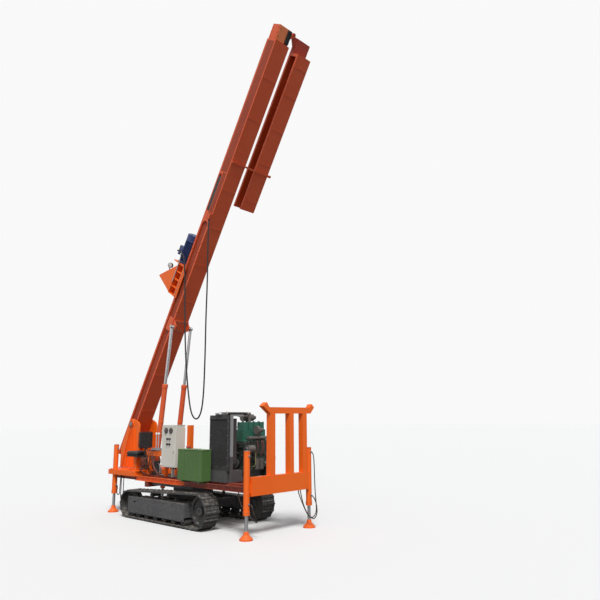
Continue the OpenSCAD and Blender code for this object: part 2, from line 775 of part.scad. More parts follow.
// Upper section, folded down beside the mast
module upper_section() {
    color(dark_orange) on_mast() translate([0, upper_y - mast_y, top_up - upper_l])
        difference() {
            linear_extrude(upper_l) mast_section();
            mast_hollow(-1, upper_l - 20);
            block([flange_t - pin_in, -mast_w / 2 - 1, -1],
                  [mast_d - flange_t - pin_in, -mast_w / 2 + recess + mast_wall + 1, upper_l - 60]);
        }
}

module upper_neck() {
    color(dark_orange) on_mast() {
        block([-pin_in, upper_y - mast_y - mast_w / 2, top_up],
              [neck_d - pin_in, upper_y - mast_y + mast_w / 2, top_up + neck_h]);
        hinge_lug(inner_lug, upper_y - mast_y - mast_w / 2 + 1);
        translate([0, fold_dy, hinge_up])
            bar_x(fold_pin_d / 2, outer_lugs[0][0] - 8 - pin_in, outer_lugs[1][1] + 8 - pin_in);
    }
}

// Power head carriage: two cross plates with ribs between them and guides on the mast
guide_y = mast_w / 2 + clear;
head_up = head_at - pin_up;

module carriage() {
    color(orange) on_mast() { drive_box(); translate([-pin_in, 0, head_up]) {
        block([-30, -guide_y - plate_t, 0], [-10, guide_y + plate_t, carriage_l]);
        block([-carriage_d, -guide_y, 0], [-carriage_d + 20, guide_y, carriage_l]);
        for (i = [0:rib_count - 1])
            translate([0, 0, i * (carriage_l - plate_t) / (rib_count - 1)])
                block([-carriage_d + 20, -guide_y, 0], [-30, guide_y, plate_t]);
        for (side = [-1, 1])
            block([-10, side > 0 ? guide_y : -guide_y - plate_t, 0],
                  [flange_t + 40, side > 0 ? guide_y + plate_t : -guide_y, carriage_l]);
        for (side = [-1, 1])
            slab_y(side > 0 ? guide_y - plate_t : -guide_y, side > 0 ? guide_y : -guide_y + plate_t)
                polygon([[-carriage_d, 20], [-carriage_d, carriage_l - 60],
                    [-carriage_d - gusset_out, 200]]);
        block([-motor_out - motor_d / 2 - 20, -guide_y, carriage_l],
              [-10, guide_y, carriage_l + 20]);
        for (z = [30, carriage_l - 110]) {
            block([-11, -mast_w / 2 + 10, z], [-skin, -90, z + 80]);
            block([-11, 90, z], [-skin, mast_w / 2 - 10, z + 80]);
            for (side = [-1, 1])
                block([4, side > 0 ? mast_w / 2 + skin : -guide_y - 1, z],
                      [flange_t - 8, side > 0 ? guide_y + 1 : -mast_w / 2 - skin, z + 80]);
        }
    }
    }
}

// Drive box between the triangular plates, over the drive flange
drive_x = -pin_in - carriage_d - 200;
box_low = head_up + 250;

module drive_box() {
    block([-pin_in - carriage_d - 330, -guide_y + plate_t, box_low],
          [-pin_in - carriage_d + 1, guide_y - plate_t, box_low + 120]);
    translate([drive_x, 0, box_low - 40]) difference() {
        cylinder(r = drive_d / 2 + 10, h = 40);
        translate([0, 0, -1]) cylinder(r = 45 + rod_gap, h = 42);
    }
    block([drive_x - 60, -120, box_low + 120], [-pin_in - carriage_d + 1, 120, box_low + 260]);
}

module drive_flange() {
    color(steel) on_mast() translate([drive_x, 0, box_low]) difference() {
        union() {
            translate([0, 0, -100]) cylinder(r = 45, h = 99);
            translate([0, 0, -110]) cylinder(d = drive_d, h = 65);
        }
        translate([0, 0, -111]) cylinder(r = 20, h = 70);
        for (a = [0:45:315]) rotate(a) translate([drive_d / 2 - 25, 0, -111])
            cylinder(d = 18, h = 30);
    }
}

module drive_motor() {
    color(motor_blue) on_mast() translate([-pin_in - motor_out, 0, head_up + carriage_l + 20]) {
        cylinder(d = motor_d - 40, h = motor_l - 120);
        cylinder(d = motor_d, h = 30);
        translate([0, 0, motor_l - 120]) cylinder(d = motor_d - 10, h = 120);
        block([-motor_d / 2 - 125, -80, 120], [-motor_d / 2 + 40, 80, 320]);
        translate([-motor_d / 2 - 15, 0, 220]) {
            bar_y(26, -95, -80);
            bar_y(20, -110, -94);
        }
    }
}

// Lift cylinders: barrels hinged on the frame, rods that follow the mast
lift_base_x = -lift_base_from_leg;
lift_eye_x = -pin_from_leg + lift_top_up * s_l + (lift_rear + lift_top_out) * c_l;
lift_eye_z = pin_z + lift_top_up * c_l - (lift_rear + lift_top_out) * s_l;
lift_len = sqrt(pow(lift_eye_x - lift_base_x, 2) + pow(lift_eye_z - lift_base_z, 2));
lift_lean = atan2(lift_eye_x - lift_base_x, lift_eye_z - lift_base_z);
rod_inside = 760;
eye_r = 45;

module on_lift(side) {
    from_leg() translate([lift_base_x, mast_y + side * lift_y, lift_base_z])
        rotate([0, lift_lean, 0]) children();
}

module lift_barrels() {
    color(orange) for (side = [-1, 1]) on_lift(side) difference() {
        union() {
            translate([0, 0, 50]) cylinder(d = lift_d, h = lift_l - 50);
            translate([0, 0, lift_l - 70]) cylinder(d = lift_d + 14, h = 70);
            bar_y(eye_r, -30, 30);
            block([-30, -30, 0], [30, 30, 60]);
        }
        bar_y(base_pin_d / 2 + rod_gap, -31, 31);
        translate([0, 0, 90]) cylinder(r = lift_rod_d / 2 + rod_gap, h = lift_l);
    }
}

module lift_rods() {
    color(steel) for (side = [-1, 1]) on_lift(side) {
        translate([0, 0, lift_l - rod_inside])
            cylinder(d = lift_rod_d, h = lift_len - eye_r + 8 - lift_l + rod_inside);
        translate([0, 0, lift_len]) difference() {
            bar_y(eye_r, -lift_rod_d / 2 + 4, lift_rod_d / 2 - 4);
            bar_y(20, -50, 50);
        }
    }
}

// Winch behind the mast, between the cheeks of the stand
winch_z = 1040;
winch_y0 = mast_y - winch_l / 2;

module winch_frame() {
    color(orange) from_leg() {
        for (side = [-1, 1]) translate([0, mast_y, 0]) mirror([0, side < 0 ? 1 : 0, 0]) difference() {
            slab_y(winch_l / 2 + winch_rim + 6, winch_l / 2 + winch_rim + 18)
                polygon([[winch_x - 130, deck_z - deck_h + 10], [winch_x + 150, deck_z - deck_h + 10],
                    [winch_x + 60, winch_z + 60], [winch_x - 60, winch_z + 60]]);
            translate([winch_x, 0, winch_z]) bar_y(25 + rod_gap, 0, 400);
        }
    }
}

// The drum's outline is turned about its axis: a shaft end, a rim, the rope's turns, the
// other rim and the other shaft end
rope_turns = 14;
rope_layer = 40;

module winch_drum() {
    turn = (winch_l - 8) / rope_turns;
    color(rope_brown) from_leg() translate([winch_x, winch_y0, winch_z]) rotate([-90, 0, 0])
        rotate_extrude() polygon(concat(
            [[0, -winch_rim - 18], [25, -winch_rim - 18], [25, -winch_rim], [winch_d / 2, -winch_rim],
             [winch_d / 2, 2]],
            [for (i = [0:rope_turns - 1]) for (k = [0, 0.5])
                [winch_d / 2 - rope_layer - (k == 0 ? 10 : 0), 4 + (i + k) * turn]],
            [[winch_d / 2 - rope_layer - 10, winch_l - 4], [winch_d / 2, winch_l - 2],
             [winch_d / 2, winch_l + winch_rim], [25, winch_l + winch_rim],
             [25, winch_l + winch_rim + 18], [0, winch_l + winch_rim + 18]]));
}

// Control cabinet with a hinged door on the near side
cabinet_x0 = -2550;
cabinet_y0 = -720;
cabinet_z0 = 1040;

hinge_x = cabinet_x0 - 9;
hinge_y = cabinet_y0 - 11;
knuckle_r = 9;
knuckle_l = 70;
hinge_zs = [cabinet_z0 + 90, cabinet_z0 + cabinet_h - 90 - knuckle_l];
door_t = 20;

module cabinet() {
    color(cream) from_leg() {
        difference() {
            block([cabinet_x0, cabinet_y0, cabinet_z0],
                  [cabinet_x0 + cabinet_w, cabinet_y0 + cabinet_d, cabinet_z0 + cabinet_h]);
            block([cabinet_x0 + cabinet_t, cabinet_y0 - 1, cabinet_z0 + cabinet_t],
                  [cabinet_x0 + cabinet_w - cabinet_t, cabinet_y0 + cabinet_d - cabinet_t,
                   cabinet_z0 + cabinet_h - cabinet_t]);
        }
        for (x = [cabinet_x0 + 60, cabinet_x0 + cabinet_w - 110])
            block([x, cabinet_y0 + cabinet_d, rail_z],
                  [x + 50, cabinet_y0 + cabinet_d + 50, cabinet_z0 + cabinet_h - 60]);
        for (z = hinge_zs) {
            translate([hinge_x, hinge_y, z - 14]) cylinder(r = knuckle_r, h = 13);
            translate([hinge_x, hinge_y, z - 14]) cylinder(r = 4, h = knuckle_l + 14);
            block([hinge_x - knuckle_r, hinge_y, z - 14], [cabinet_x0 + 1, cabinet_y0 + 30, z - 1]);
        }
    }
}

// What stands on the door: place along it, height, radius and reach
GAUGES = [[150, 690, 48, 14], [310, 690, 48, 14], [200, 530, 17, 24], [280, 530, 17, 24],
    [200, 430, 17, 24], [280, 430, 17, 24]];

module cabinet_door() {
    color(cream) from_leg() {
        block([cabinet_x0 + 2, cabinet_y0 - door_t - skin, cabinet_z0],
              [cabinet_x0 + cabinet_w, cabinet_y0 - skin, cabinet_z0 + cabinet_h]);
        for (z = hinge_zs) difference() {
            union() {
                translate([hinge_x, hinge_y, z]) cylinder(r = knuckle_r, h = knuckle_l);
                block([hinge_x, hinge_y - knuckle_r, z], [cabinet_x0 + 3, hinge_y - 3, z + knuckle_l]);
            }
            translate([hinge_x, hinge_y, z - 1]) cylinder(r = 4 + rod_gap, h = knuckle_l + 2);
        }
        translate([cabinet_x0 + cabinet_w - 60, cabinet_y0 - door_t - 24, cabinet_z0 + 300])
            cube([16, 25, 110]);
        for (g = GAUGES) translate([cabinet_x0 + g[0], 0, cabinet_z0 + g[1]])
            bar_y(g[2], cabinet_y0 - door_t - g[3], cabinet_y0 - door_t);
    }
}

// Green tank with its filler cap
tank_x0 = -1870;
tank_y0 = -820;
tank_z0 = 845;

tank_rim = 8;

module fuel_tank() {
    color(green) from_leg() {
        block([tank_x0, tank_y0, tank_z0], [tank_x0 + tank_l, tank_y0 + tank_d, tank_z0 + tank_h]);
        block([tank_x0 - tank_rim, tank_y0 - tank_rim, tank_z0 + tank_h - 2 * tank_rim],
              [tank_x0 + tank_l + tank_rim, tank_y0 + tank_d + tank_rim, tank_z0 + tank_h]);
        translate([tank_x0 + tank_l / 4, tank_y0 + tank_d / 2, tank_z0 + tank_h]) {
            cylinder(r = 30, h = 20);
            translate([0, 0, 20]) cylinder(r = 40, h = 30);
        }
        for (x = [tank_x0 + 80, tank_x0 + tank_l - 130])
            block([x, tank_y0 + 20, side_z1], [x + 50, tank_y0 + tank_d, tank_z0]);
    }
}

// Radiator with its shroud towards the engine
rad_x0 = -1270;
rad_y0 = -560;
base_h = 200;
base_l = 520;
base_d = 380;
base_front = 20;
rad_z0 = rail_z + base_h;

rad_rim = 34;
rad_slats = 26;
slat_w = 7;

module radiator() {
    slat_step = (rad_w - 2 * rad_rim) / (rad_slats + 1);
    color(black) from_leg() {
        difference() {
            block([rad_x0, rad_y0, rad_z0], [rad_x0 + rad_w, rad_y0 + rad_t, rad_z0 + rad_h]);
            block([rad_x0 + rad_rim, rad_y0 - 1, rad_z0 + 2 * rad_rim],
                  [rad_x0 + rad_w - rad_rim, rad_y0 + 28, rad_z0 + rad_h - 2 * rad_rim]);
        }
        for (i = [1:rad_slats])
            block([rad_x0 + rad_rim + i * slat_step - slat_w / 2, rad_y0 + 6, rad_z0 + 2 * rad_rim],
                  [rad_x0 + rad_rim + i * slat_step + slat_w / 2, rad_y0 + 28,
                   rad_z0 + rad_h - 2 * rad_rim]);
        difference() {
            block([rad_x0 + 30, rad_y0 + rad_t, rad_z0 + 120],
                  [rad_x0 + rad_w - 30, rad_y0 + rad_t + 120, rad_z0 + rad_h - 60]);
            translate([fan_x, 0, fan_z]) bar_y(fan_r + 15, rad_y0 + rad_t + 30, rad_y0 + rad_t + 121);
        }
        translate([rad_x0 + 150, rad_y0 + rad_t / 2, rad_z0 + rad_h]) cylinder(r = 34, h = 26);
    }
}

// Stay from the radiator's top to the frame, on its rear side
module radiator_stay() {
    color(steel) from_leg() {
        block([rad_x0 + rad_w, rad_y0 + 40, rail_z],
              [rad_x0 + rad_w + 40, rad_y0 + 80, rad_z0 + rad_h - 20]);
        block([rad_x0 + rad_w, rad_y0 + 40, rad_z0 + rad_h - 20],
              [rad_x0 + rad_w + 40, rad_y0 + 320, rad_z0 + rad_h + 10]);
    }
}

module base_box() {
    radiator_stay();
    color(grey) from_leg() block([rad_x0 - base_front, rad_y0, rail_z],
        [rad_x0 - base_front + base_l, rad_y0 + base_d, rad_z0]);
}

// Engine: one plain heavy block, its head and the open parts round it
engine_x0 = -1230;
engine_y0 = -120;
engine_z0 = 990;

head_h = 190;
cover_h = 140;
engine_top = engine_z0 + engine_h + head_h + cover_h;
cylinder_count = 4;
cyl_step = 140;
cyl_y0 = engine_y0 + 140;

module engine() {
    xm = engine_x0 + engine_w / 2;
    color(engine_green) from_leg() {
        block([engine_x0 + 40, engine_y0, engine_z0],
              [engine_x0 + engine_w - 40, engine_y0 + engine_l, engine_z0 + engine_h]);
        block([engine_x0 + 80, engine_y0 + 60, engine_z0 - 110],
              [engine_x0 + engine_w - 80, engine_y0 + engine_l - 120, engine_z0]);
        block([xm - 130, engine_y0 + 30, engine_z0 + engine_h],
              [xm + 130, engine_y0 + engine_l - 90, engine_top - cover_h]);
        for (i = [0:cylinder_count - 1]) {
            y = cyl_y0 + i * cyl_step;
            block([xm - 85, y - 58, engine_top - cover_h],
                  [xm + 85, y + 58, engine_top]);
            translate([xm, y, engine_top]) cylinder(r = 14, h = 18);
            translate([engine_x0 + engine_w - 40, y, engine_z0 + 290]) bar_x(34, 0, 22);
        }
        translate([xm, 0, engine_z0 + 210])
            bar_y(235, engine_y0 + engine_l, engine_y0 + engine_l + 90);
        for (y = [engine_y0 + 60, engine_y0 + engine_l - 160]) for (side = [0, 1])
            block([engine_x0 + (side == 0 ? 0 : engine_w - 90), y, rail_z],
                  [engine_x0 + (side == 0 ? 90 : engine_w), y + 100, engine_z0 + 60]);
    }
}

pipe_r = 28;
pipe_from_fan = 52;
head_port = 270;
pipe_over_head = 130;
generator_up = 400;
generator_y = 30;
generator_l = 160;
filter_y = 300;
filter_step = 110;
starter_y = 470;
starter_l = 230;

module engine_parts() {
    xm = engine_x0 + engine_w / 2;
    x1 = engine_x0 + engine_w;
    pipe_x = fan_x + pipe_from_fan;
    pipe_z = max(rad_z0 + rad_h, engine_top + pipe_over_head) + pipe_r;
    generator_z = engine_z0 + generator_up;
    exhaust_z = engine_z0 + engine_h + 38;
    color(grey) from_leg() {
        // Water pipe from the radiator's top to the head, and the crank's pulley
        translate([pipe_x, 0, pipe_z]) bar_y(pipe_r, rad_y0 + rad_t / 2, engine_y0 + head_port);
        for (k = [[rad_y0 + rad_t / 2, rad_z0 + rad_h], [engine_y0 + head_port, engine_top]])
            translate([pipe_x, k[0], k[1]]) {
                cylinder(r = pipe_r, h = pipe_z - k[1]);
                translate([0, 0, pipe_z - k[1]]) sphere(r = pipe_r);
            }
        translate([xm, 0, engine_z0 + 130]) bar_y(80, engine_y0 - 35, engine_y0);
        // Exhaust manifold, its turbine and the pipe that goes up from it
        for (i = [0:cylinder_count - 1])
            translate([xm + 130, cyl_y0 + i * cyl_step, exhaust_z]) bar_x(24, 0, 62);
        translate([xm + 205, 0, exhaust_z])
            bar_y(30, cyl_y0 - 40, cyl_y0 + (cylinder_count - 1) * cyl_step + 40);
        translate([xm + 205, cyl_y0 + 210, exhaust_z]) cylinder(r = 26, h = 90);
        translate([xm + 214, 0, engine_z0 + engine_h + 180]) {
            bar_y(78, cyl_y0 + 150, cyl_y0 + 210);
            bar_y(40, cyl_y0 + 209, cyl_y0 + 300);
        }
        // Generator, filters and starter on the rear side
        translate([x1 + 40, engine_y0 + generator_y, generator_z]) bar_y(72, 0, generator_l);
        block([x1 - 40, engine_y0 + generator_y + 30, generator_z - 20],
              [x1 + 40, engine_y0 + generator_y + 70, generator_z + 20]);
        for (y = [engine_y0 + filter_y, engine_y0 + filter_y + filter_step]) {
            translate([x1 + 20, y, engine_z0 + 30]) cylinder(r = 44, h = 170);
            block([x1 - 40, y - 30, engine_z0 + 170], [x1 + 20, y + 30, engine_z0 + 220]);
        }
        translate([x1 + 15, engine_y0 + starter_y, engine_z0 + 110]) bar_y(50, 0, starter_l);
    }
}

// Cooling fan between the radiator and the engine
fan_x = engine_x0 + engine_w / 2;
fan_up = 400;
fan_z = engine_z0 + fan_up;
fan_r = 200;
blade_count = 6;

module engine_fan() {
    color(black) from_leg() translate([fan_x, 0, fan_z]) {
        bar_y(45, engine_y0 - 130, engine_y0 - 40);
        bar_y(25, engine_y0 - 41, engine_y0 - skin);
        for (a = [0:360 / blade_count:359]) rotate([0, a, 0])
            translate([0, engine_y0 - 85, 0]) rotate([0, 0, 35])
                block([-35, -3, 30], [35, 3, fan_r]);
    }
}

// Operator's seat on its stand
seat_x0 = -leg_span + 640;
seat_y0 = -730;
seat_z = 1200;
cushion_h = 100;
back_t = 70;

module seat_cushion() {
    color(black) from_leg() {
        block([seat_x0, seat_y0, seat_z], [seat_x0 + seat_d, seat_y0 + seat_w, seat_z + cushion_h]);
        block([seat_x0 + seat_d, seat_y0, seat_z + 160],
              [seat_x0 + seat_d + back_t, seat_y0 + seat_w, seat_z + 160 + seat_back_h]);
    }
}

// Control beam from the seat to the cabinet, with two levers on it and a post behind it.
// The levers stand at shares of the beam's length
console_x0 = -leg_span + 1170;
console_x1 = cabinet_x0 - 50;
console_y = -520;
console_w = 100;
console_z = 1215;
console_h = 110;
console_post = 60;
lever_places = [0.42, 0.53];
lever_h = 330;
lever_r = 9;
rear_post_w = 90;
rear_post_h = 1000;

module controls_stand() {
    seat_x1 = seat_x0 + seat_d;
    console_l = console_x1 - console_x0;
    color(orange) from_leg() {
        block([seat_x0 + 80, seat_y0 + 50, deck_z], [seat_x1 - 60, seat_y0 + seat_w - 50, deck_z + 12]);
        block([seat_x0 + 160, seat_y0 + 110, deck_z + 12], [seat_x0 + 260, seat_y0 + 210, seat_z - 12]);
        block([seat_x0 + 20, seat_y0 + 20, seat_z - 12], [seat_x1, seat_y0 + seat_w - 20, seat_z]);
        block([seat_x1 - 30, seat_y0 + 130, seat_z - 12], [seat_x1 + back_t + 10, seat_y0 + 190, seat_z]);
        block([seat_x1 + back_t, seat_y0 + 130, seat_z],
              [seat_x1 + back_t + 10, seat_y0 + 190, seat_z + 300]);
        block([console_x0, console_y - console_w / 2, console_z],
              [console_x1, console_y + console_w / 2, console_z + console_h]);
        for (x = [console_x0 + console_post, console_x1 - 2 * console_post])
            block([x, console_y - console_post / 2, rail_z],
                  [x + console_post, console_y + console_post / 2, console_z]);
        for (k = lever_places)
            translate([console_x0 + k * console_l, console_y - 20, console_z + console_h]) {
                cylinder(r = 2 * lever_r, h = 30);
                cylinder(r = lever_r, h = lever_h);
                translate([0, 0, lever_h]) sphere(r = 22);
            }
        block([cabinet_x0 + cabinet_w + 20, console_y + 20, rail_z],
              [cabinet_x0 + cabinet_w + 20 + rear_post_w, console_y + 20 + rear_post_w,
               rail_z + rear_post_h]);
    }
}

track(-1);  // track_near
track(1);  // track_far
track_frame(-1);  // track_frame_near
track_frame(1);  // track_frame_far
wheels(-1);  // wheels_near
wheels(1);  // wheels_far
cross_frame();
main_frame();
front_platform();
rear_beam();
cradle();
leg_tube(front_leg_x, -1);  // leg_tube_front_near
leg_tube(front_leg_x, 1);  // leg_tube_front_far
leg_tube(0, -1);  // leg_tube_rear_near
leg_tube(0, 1);  // leg_tube_rear_far
leg_foot(front_leg_x, -1);  // leg_foot_front_near
leg_foot(front_leg_x, 1);  // leg_foot_front_far
leg_foot(0, -1);  // leg_foot_rear_near
leg_foot(0, 1);  // leg_foot_rear_far
mast_stand();
winch_frame();
winch_drum();
cabinet();
cabinet_door();
fuel_tank();
radiator();
engine();
engine_parts();
engine_fan();
base_box();
controls_stand();
seat_cushion();
mast_beam();
lift_bracket();
mast_head();
clamp_bar();
mast_strip();
power_cable();
upper_section();
upper_neck();
carriage();
drive_motor();
drive_flange();
lift_barrels();
lift_rods();
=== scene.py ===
"""Looks of the pile driver rig: finishes for the CAD nodes, and the dressed pieces on them.

Lengths are metres in the part's own frame: +X to the rear, +Y to the far side, +Z up. Profiles,
radii, bevels, routes and the sizes of repeated pieces are in millimetres.
"""

import json
import logging
import math
from dataclasses import dataclass
from enum import Enum
from typing import Sequence

import bmesh
import bpy
from mathutils import Matrix, Vector

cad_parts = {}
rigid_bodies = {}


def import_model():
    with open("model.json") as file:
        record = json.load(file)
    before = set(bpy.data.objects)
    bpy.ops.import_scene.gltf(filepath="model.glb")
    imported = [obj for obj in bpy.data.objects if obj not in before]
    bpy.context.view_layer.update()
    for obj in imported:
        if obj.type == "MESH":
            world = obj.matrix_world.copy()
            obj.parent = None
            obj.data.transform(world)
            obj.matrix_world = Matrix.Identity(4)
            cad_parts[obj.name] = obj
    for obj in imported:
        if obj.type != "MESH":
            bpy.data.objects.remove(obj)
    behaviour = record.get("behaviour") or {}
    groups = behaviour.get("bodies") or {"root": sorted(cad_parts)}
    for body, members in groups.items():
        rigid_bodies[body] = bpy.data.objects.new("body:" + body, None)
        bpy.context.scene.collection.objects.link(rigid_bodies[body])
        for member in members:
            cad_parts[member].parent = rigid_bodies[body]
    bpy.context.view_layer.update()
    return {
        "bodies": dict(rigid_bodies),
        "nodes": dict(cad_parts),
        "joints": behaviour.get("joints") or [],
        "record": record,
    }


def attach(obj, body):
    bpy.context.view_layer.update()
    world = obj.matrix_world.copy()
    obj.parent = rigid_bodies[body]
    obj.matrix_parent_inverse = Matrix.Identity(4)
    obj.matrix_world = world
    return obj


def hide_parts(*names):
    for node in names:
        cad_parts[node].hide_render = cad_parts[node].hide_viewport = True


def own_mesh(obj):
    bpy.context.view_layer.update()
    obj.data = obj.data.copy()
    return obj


LOG = logging.getLogger("rig")
Point = tuple[float, float, float]
Nodes = bpy.types.NodeTree
Outputs = bpy.types.bpy_prop_collection

SIDES = (-1, 1)
REAR_X = 2.331389
MAST_LEAN = math.radians(30.8)
MAST_Y = -0.09
MAST_W = 0.37
MAST_FRONT = Vector((-math.cos(MAST_LEAN), 0.0, math.sin(MAST_LEAN)))
MAST_UP = Vector((math.sin(MAST_LEAN), 0.0, math.cos(MAST_LEAN)))
NEAR = Vector((0.0, -1.0, 0.0))
FAR = Vector((0.0, 1.0, 0.0))
UP = Vector((0.0, 0.0, 1.0))
REAR = Vector((1.0, 0.0, 0.0))


def wire(tree: Nodes, kind: str, inputs: dict | None = None, **settings: object) -> Outputs:
    """Adds a node to a tree.

    Args:
        tree: the tree.
        kind: the node's type.
        inputs: a value, or an output to link, for each input.
        settings: the node's own properties.

    Returns:
        The node's outputs.
    """
    node = tree.nodes.new(kind)
    for name, value in settings.items():
        setattr(node, name, value)
    for key, value in (inputs or {}).items():
        if isinstance(value, bpy.types.NodeSocket):
            tree.links.new(value, node.inputs[key])
        else:
            node.inputs[key].default_value = value
    return node.outputs


def calc(tree: Nodes, operation: str, *values: object, clamp: bool = False) -> bpy.types.NodeSocket:
    """Adds a Math node on values and outputs, in the order of its inputs."""
    return wire(tree, "ShaderNodeMath", dict(enumerate(values)), operation=operation,
                use_clamp=clamp)[0]


def spread(tree: Nodes, value: object, low: float, high: float) -> bpy.types.NodeSocket:
    """Stretches the values between low and high to 0 to 1."""
    return wire(tree, "ShaderNodeMapRange",
                {"Value": value, "From Min": low, "From Max": high})["Result"]


def mix(tree: Nodes, factor: object, a: object, b: object) -> bpy.types.NodeSocket:
    """Mixes two colours by a factor."""
    return wire(tree, "ShaderNodeMix", {"Factor": factor, "A": a, "B": b},
                data_type="RGBA")["Result"]


def show(name: str, data: bpy.types.ID) -> bpy.types.Object:
    """Puts a new object in the scene.

    Args:
        name: its name.
        data: its mesh, lamp or camera.

    Returns:
        The object.
    """
    obj = bpy.data.objects.new(name, data)
    bpy.context.scene.collection.objects.link(obj)
    return obj


def new_group(name: str, inputs: dict[str, object],
              outputs: dict[str, str]) -> tuple[Nodes, Outputs, Outputs]:
    """Starts a shader node group.

    Args:
        name: its name.
        inputs: the default of each input, a number or a colour.
        outputs: the type of each output.

    Returns:
        Its tree, what comes in and what goes out.
    """
    tree = bpy.data.node_groups.new(name, "ShaderNodeTree")
    for label, value in inputs.items():
        kind = "NodeSocketFloat" if isinstance(value, float) else "NodeSocketColor"
        tree.interface.new_socket(label, in_out="INPUT", socket_type=kind).default_value = value
    for label, kind in outputs.items():
        tree.interface.new_socket(label, in_out="OUTPUT", socket_type=kind)
    return tree, wire(tree, "NodeGroupInput"), tree.nodes.new("NodeGroupOutput").inputs


class ShaderGroups:
    """Node groups that several finishes share."""

    def __init__(self) -> None:
        """Builds the groups once."""
        self.weather = self._weather()
        self.grain = self._grain()

    @staticmethod
    def _weather() -> Nodes:
        """Makes the group that fades a colour in patches and lays dust on what faces up.

        Returns:
            The group, with a colour, a roughness and a height.
        """
        tree, given, out = new_group(
            "weathered_surface",
            {"Colour": (0.5, 0.5, 0.5, 1), "Faded": (0.6, 0.6, 0.6, 1),
             "Dust": (0.45, 0.40, 0.33, 1), "Fade amount": 0.5, "Dust amount": 0.2,
             "Patch scale": 1.5, "Roughness": 0.5},
            {"Colour out": "NodeSocketColor", "Roughness out": "NodeSocketFloat",
             "Height out": "NodeSocketFloat"})
        place = wire(tree, "ShaderNodeTexCoord")["Object"]
        patches = wire(tree, "ShaderNodeTexNoise", {
            "Vector": place, "Scale": given["Patch scale"], "Detail": 6, "Roughness": 0.62})
        fade = calc(tree, "MULTIPLY", spread(tree, patches["Fac"], 0.38, 0.68),
                    given["Fade amount"])
        normal = wire(tree, "ShaderNodeNewGeometry")["Normal"]
        up = wire(tree, "ShaderNodeSeparateXYZ", {0: normal})["Z"]
        fine = wire(tree, "ShaderNodeTexNoise", {"Vector": place, "Scale": 22, "Detail": 5})["Fac"]
        dust = calc(tree, "MULTIPLY", calc(tree, "ADD", spread(tree, up, 0.2, 1.0), 0.18),
                    spread(tree, fine, 0.42, 0.72))
        dust = calc(tree, "MULTIPLY", dust, given["Dust amount"], clamp=True)
        colour = mix(tree, fade, given["Colour"], given["Faded"])
        tree.links.new(mix(tree, dust, colour, given["Dust"]), out["Colour out"])
        tree.links.new(calc(tree, "MULTIPLY_ADD", dust, 0.35, given["Roughness"], clamp=True),
                       out["Roughness out"])
        tree.links.new(fine, out["Height out"])
        return tree

    @staticmethod
    def _grain() -> Nodes:
        """Makes the group for a fine grain, such as leather or rubber.

        Returns:
            The group, with a height.
        """
        tree, given, out = new_group("fine_grain", {"Scale": 300.0},
                                     {"Height out": "NodeSocketFloat"})
        place = wire(tree, "ShaderNodeTexCoord")["Object"]
        cells = wire(tree, "ShaderNodeTexVoronoi",
                     {"Vector": place, "Scale": given["Scale"], "Randomness": 0.9})
        tree.links.new(cells["Distance"], out["Height out"])
        return tree


class Gloss(Enum):
    """How strongly a surface mirrors: the shader's specular level."""

    HARD = 0.5
    RUBBER = 0.3


@dataclass(frozen=True)
class Finish:
    """A surface finish, made once as a material.

    A finish with an inner colour has it nearer to zero along the split's axis than its limit, and
    behind the X of behind where that is given. On the frame the inner colour is painted shade, and
    on the tank the outer colour is painted light. The slot is the finish's own name unless given.
    """

    name: str
    colour: Point
    faded: Point
    roughness: float
    dust: float
    slot: str = ""
    metallic: float = 0.0
    patch_scale: float = 1.5
    bump: float = 0.05
    grain_scale: float = 0.0
    gloss: Gloss = Gloss.HARD
    inner: Point | None = None
    split: tuple[str, float] = ("Z", 0.0)
    behind: float | None = None

    def build(self, groups: ShaderGroups) -> bpy.types.Material:
        """Makes the material.

        Args:
            groups: the shared node groups.

        Returns:
            The material.
        """
        mat = bpy.data.materials.new(self.name)
        mat.use_nodes = True
        tree = mat.node_tree
        shader = tree.nodes["Principled BSDF"].inputs
        shader["Metallic"].default_value = self.metallic
        shader["Specular IOR Level"].default_value = self.gloss.value
        outer = self._surface(tree, groups, self.colour, self.faded)
        colour, height = outer["Colour out"], outer["Height out"]
        if self.inner is not None:
            within = self._within(tree)
            faded = tuple(min(1.0, c * 1.25 + 0.01) for c in self.inner)
            inner = self._surface(tree, groups, self.inner, faded)
            colour = mix(tree, within, colour, inner["Colour out"])
            if self.metallic > 0:
                bare = calc(tree, "MULTIPLY_ADD", within, -self.metallic, self.metallic)
                tree.links.new(bare, shader["Metallic"])
        if self.grain_scale > 0:
            height = wire(tree, "ShaderNodeGroup", {"Scale": self.grain_scale},
                          node_tree=groups.grain)["Height out"]
        bump = wire(tree, "ShaderNodeBump",
                    {"Strength": self.bump, "Distance": 0.004, "Height": height})
        for name, output in (("Base Color", colour), ("Roughness", outer["Roughness out"]),
                             ("Normal", bump["Normal"])):
            tree.links.new(output, shader[name])
        return mat

    def _surface(self, tree: Nodes, groups: ShaderGroups, colour: Point, faded: Point) -> Outputs:
        """Adds the weathered surface of one paint."""
        return wire(tree, "ShaderNodeGroup", {
            "Colour": (*colour, 1), "Faded": (*faded, 1), "Fade amount": 0.5,
            "Dust amount": self.dust, "Patch scale": self.patch_scale,
            "Roughness": self.roughness}, node_tree=groups.weather)

    def _within(self, tree: Nodes) -> bpy.types.NodeSocket:
        """Adds the mask of the inner colour.

        Args:
            tree: the material's tree.

        Returns:
            The mask.
        """
        axis, limit = self.split
        place = wire(tree, "ShaderNodeTexCoord")["Object"]
        parts = wire(tree, "ShaderNodeSeparateXYZ", {0: place})
        mask = calc(tree, "LESS_THAN", calc(tree, "ABSOLUTE", parts[axis]), limit)
        if self.behind is not None:
            mask = calc(tree, "MAXIMUM", calc(tree, "GREATER_THAN", parts["X"], self.behind), mask)
        return mask


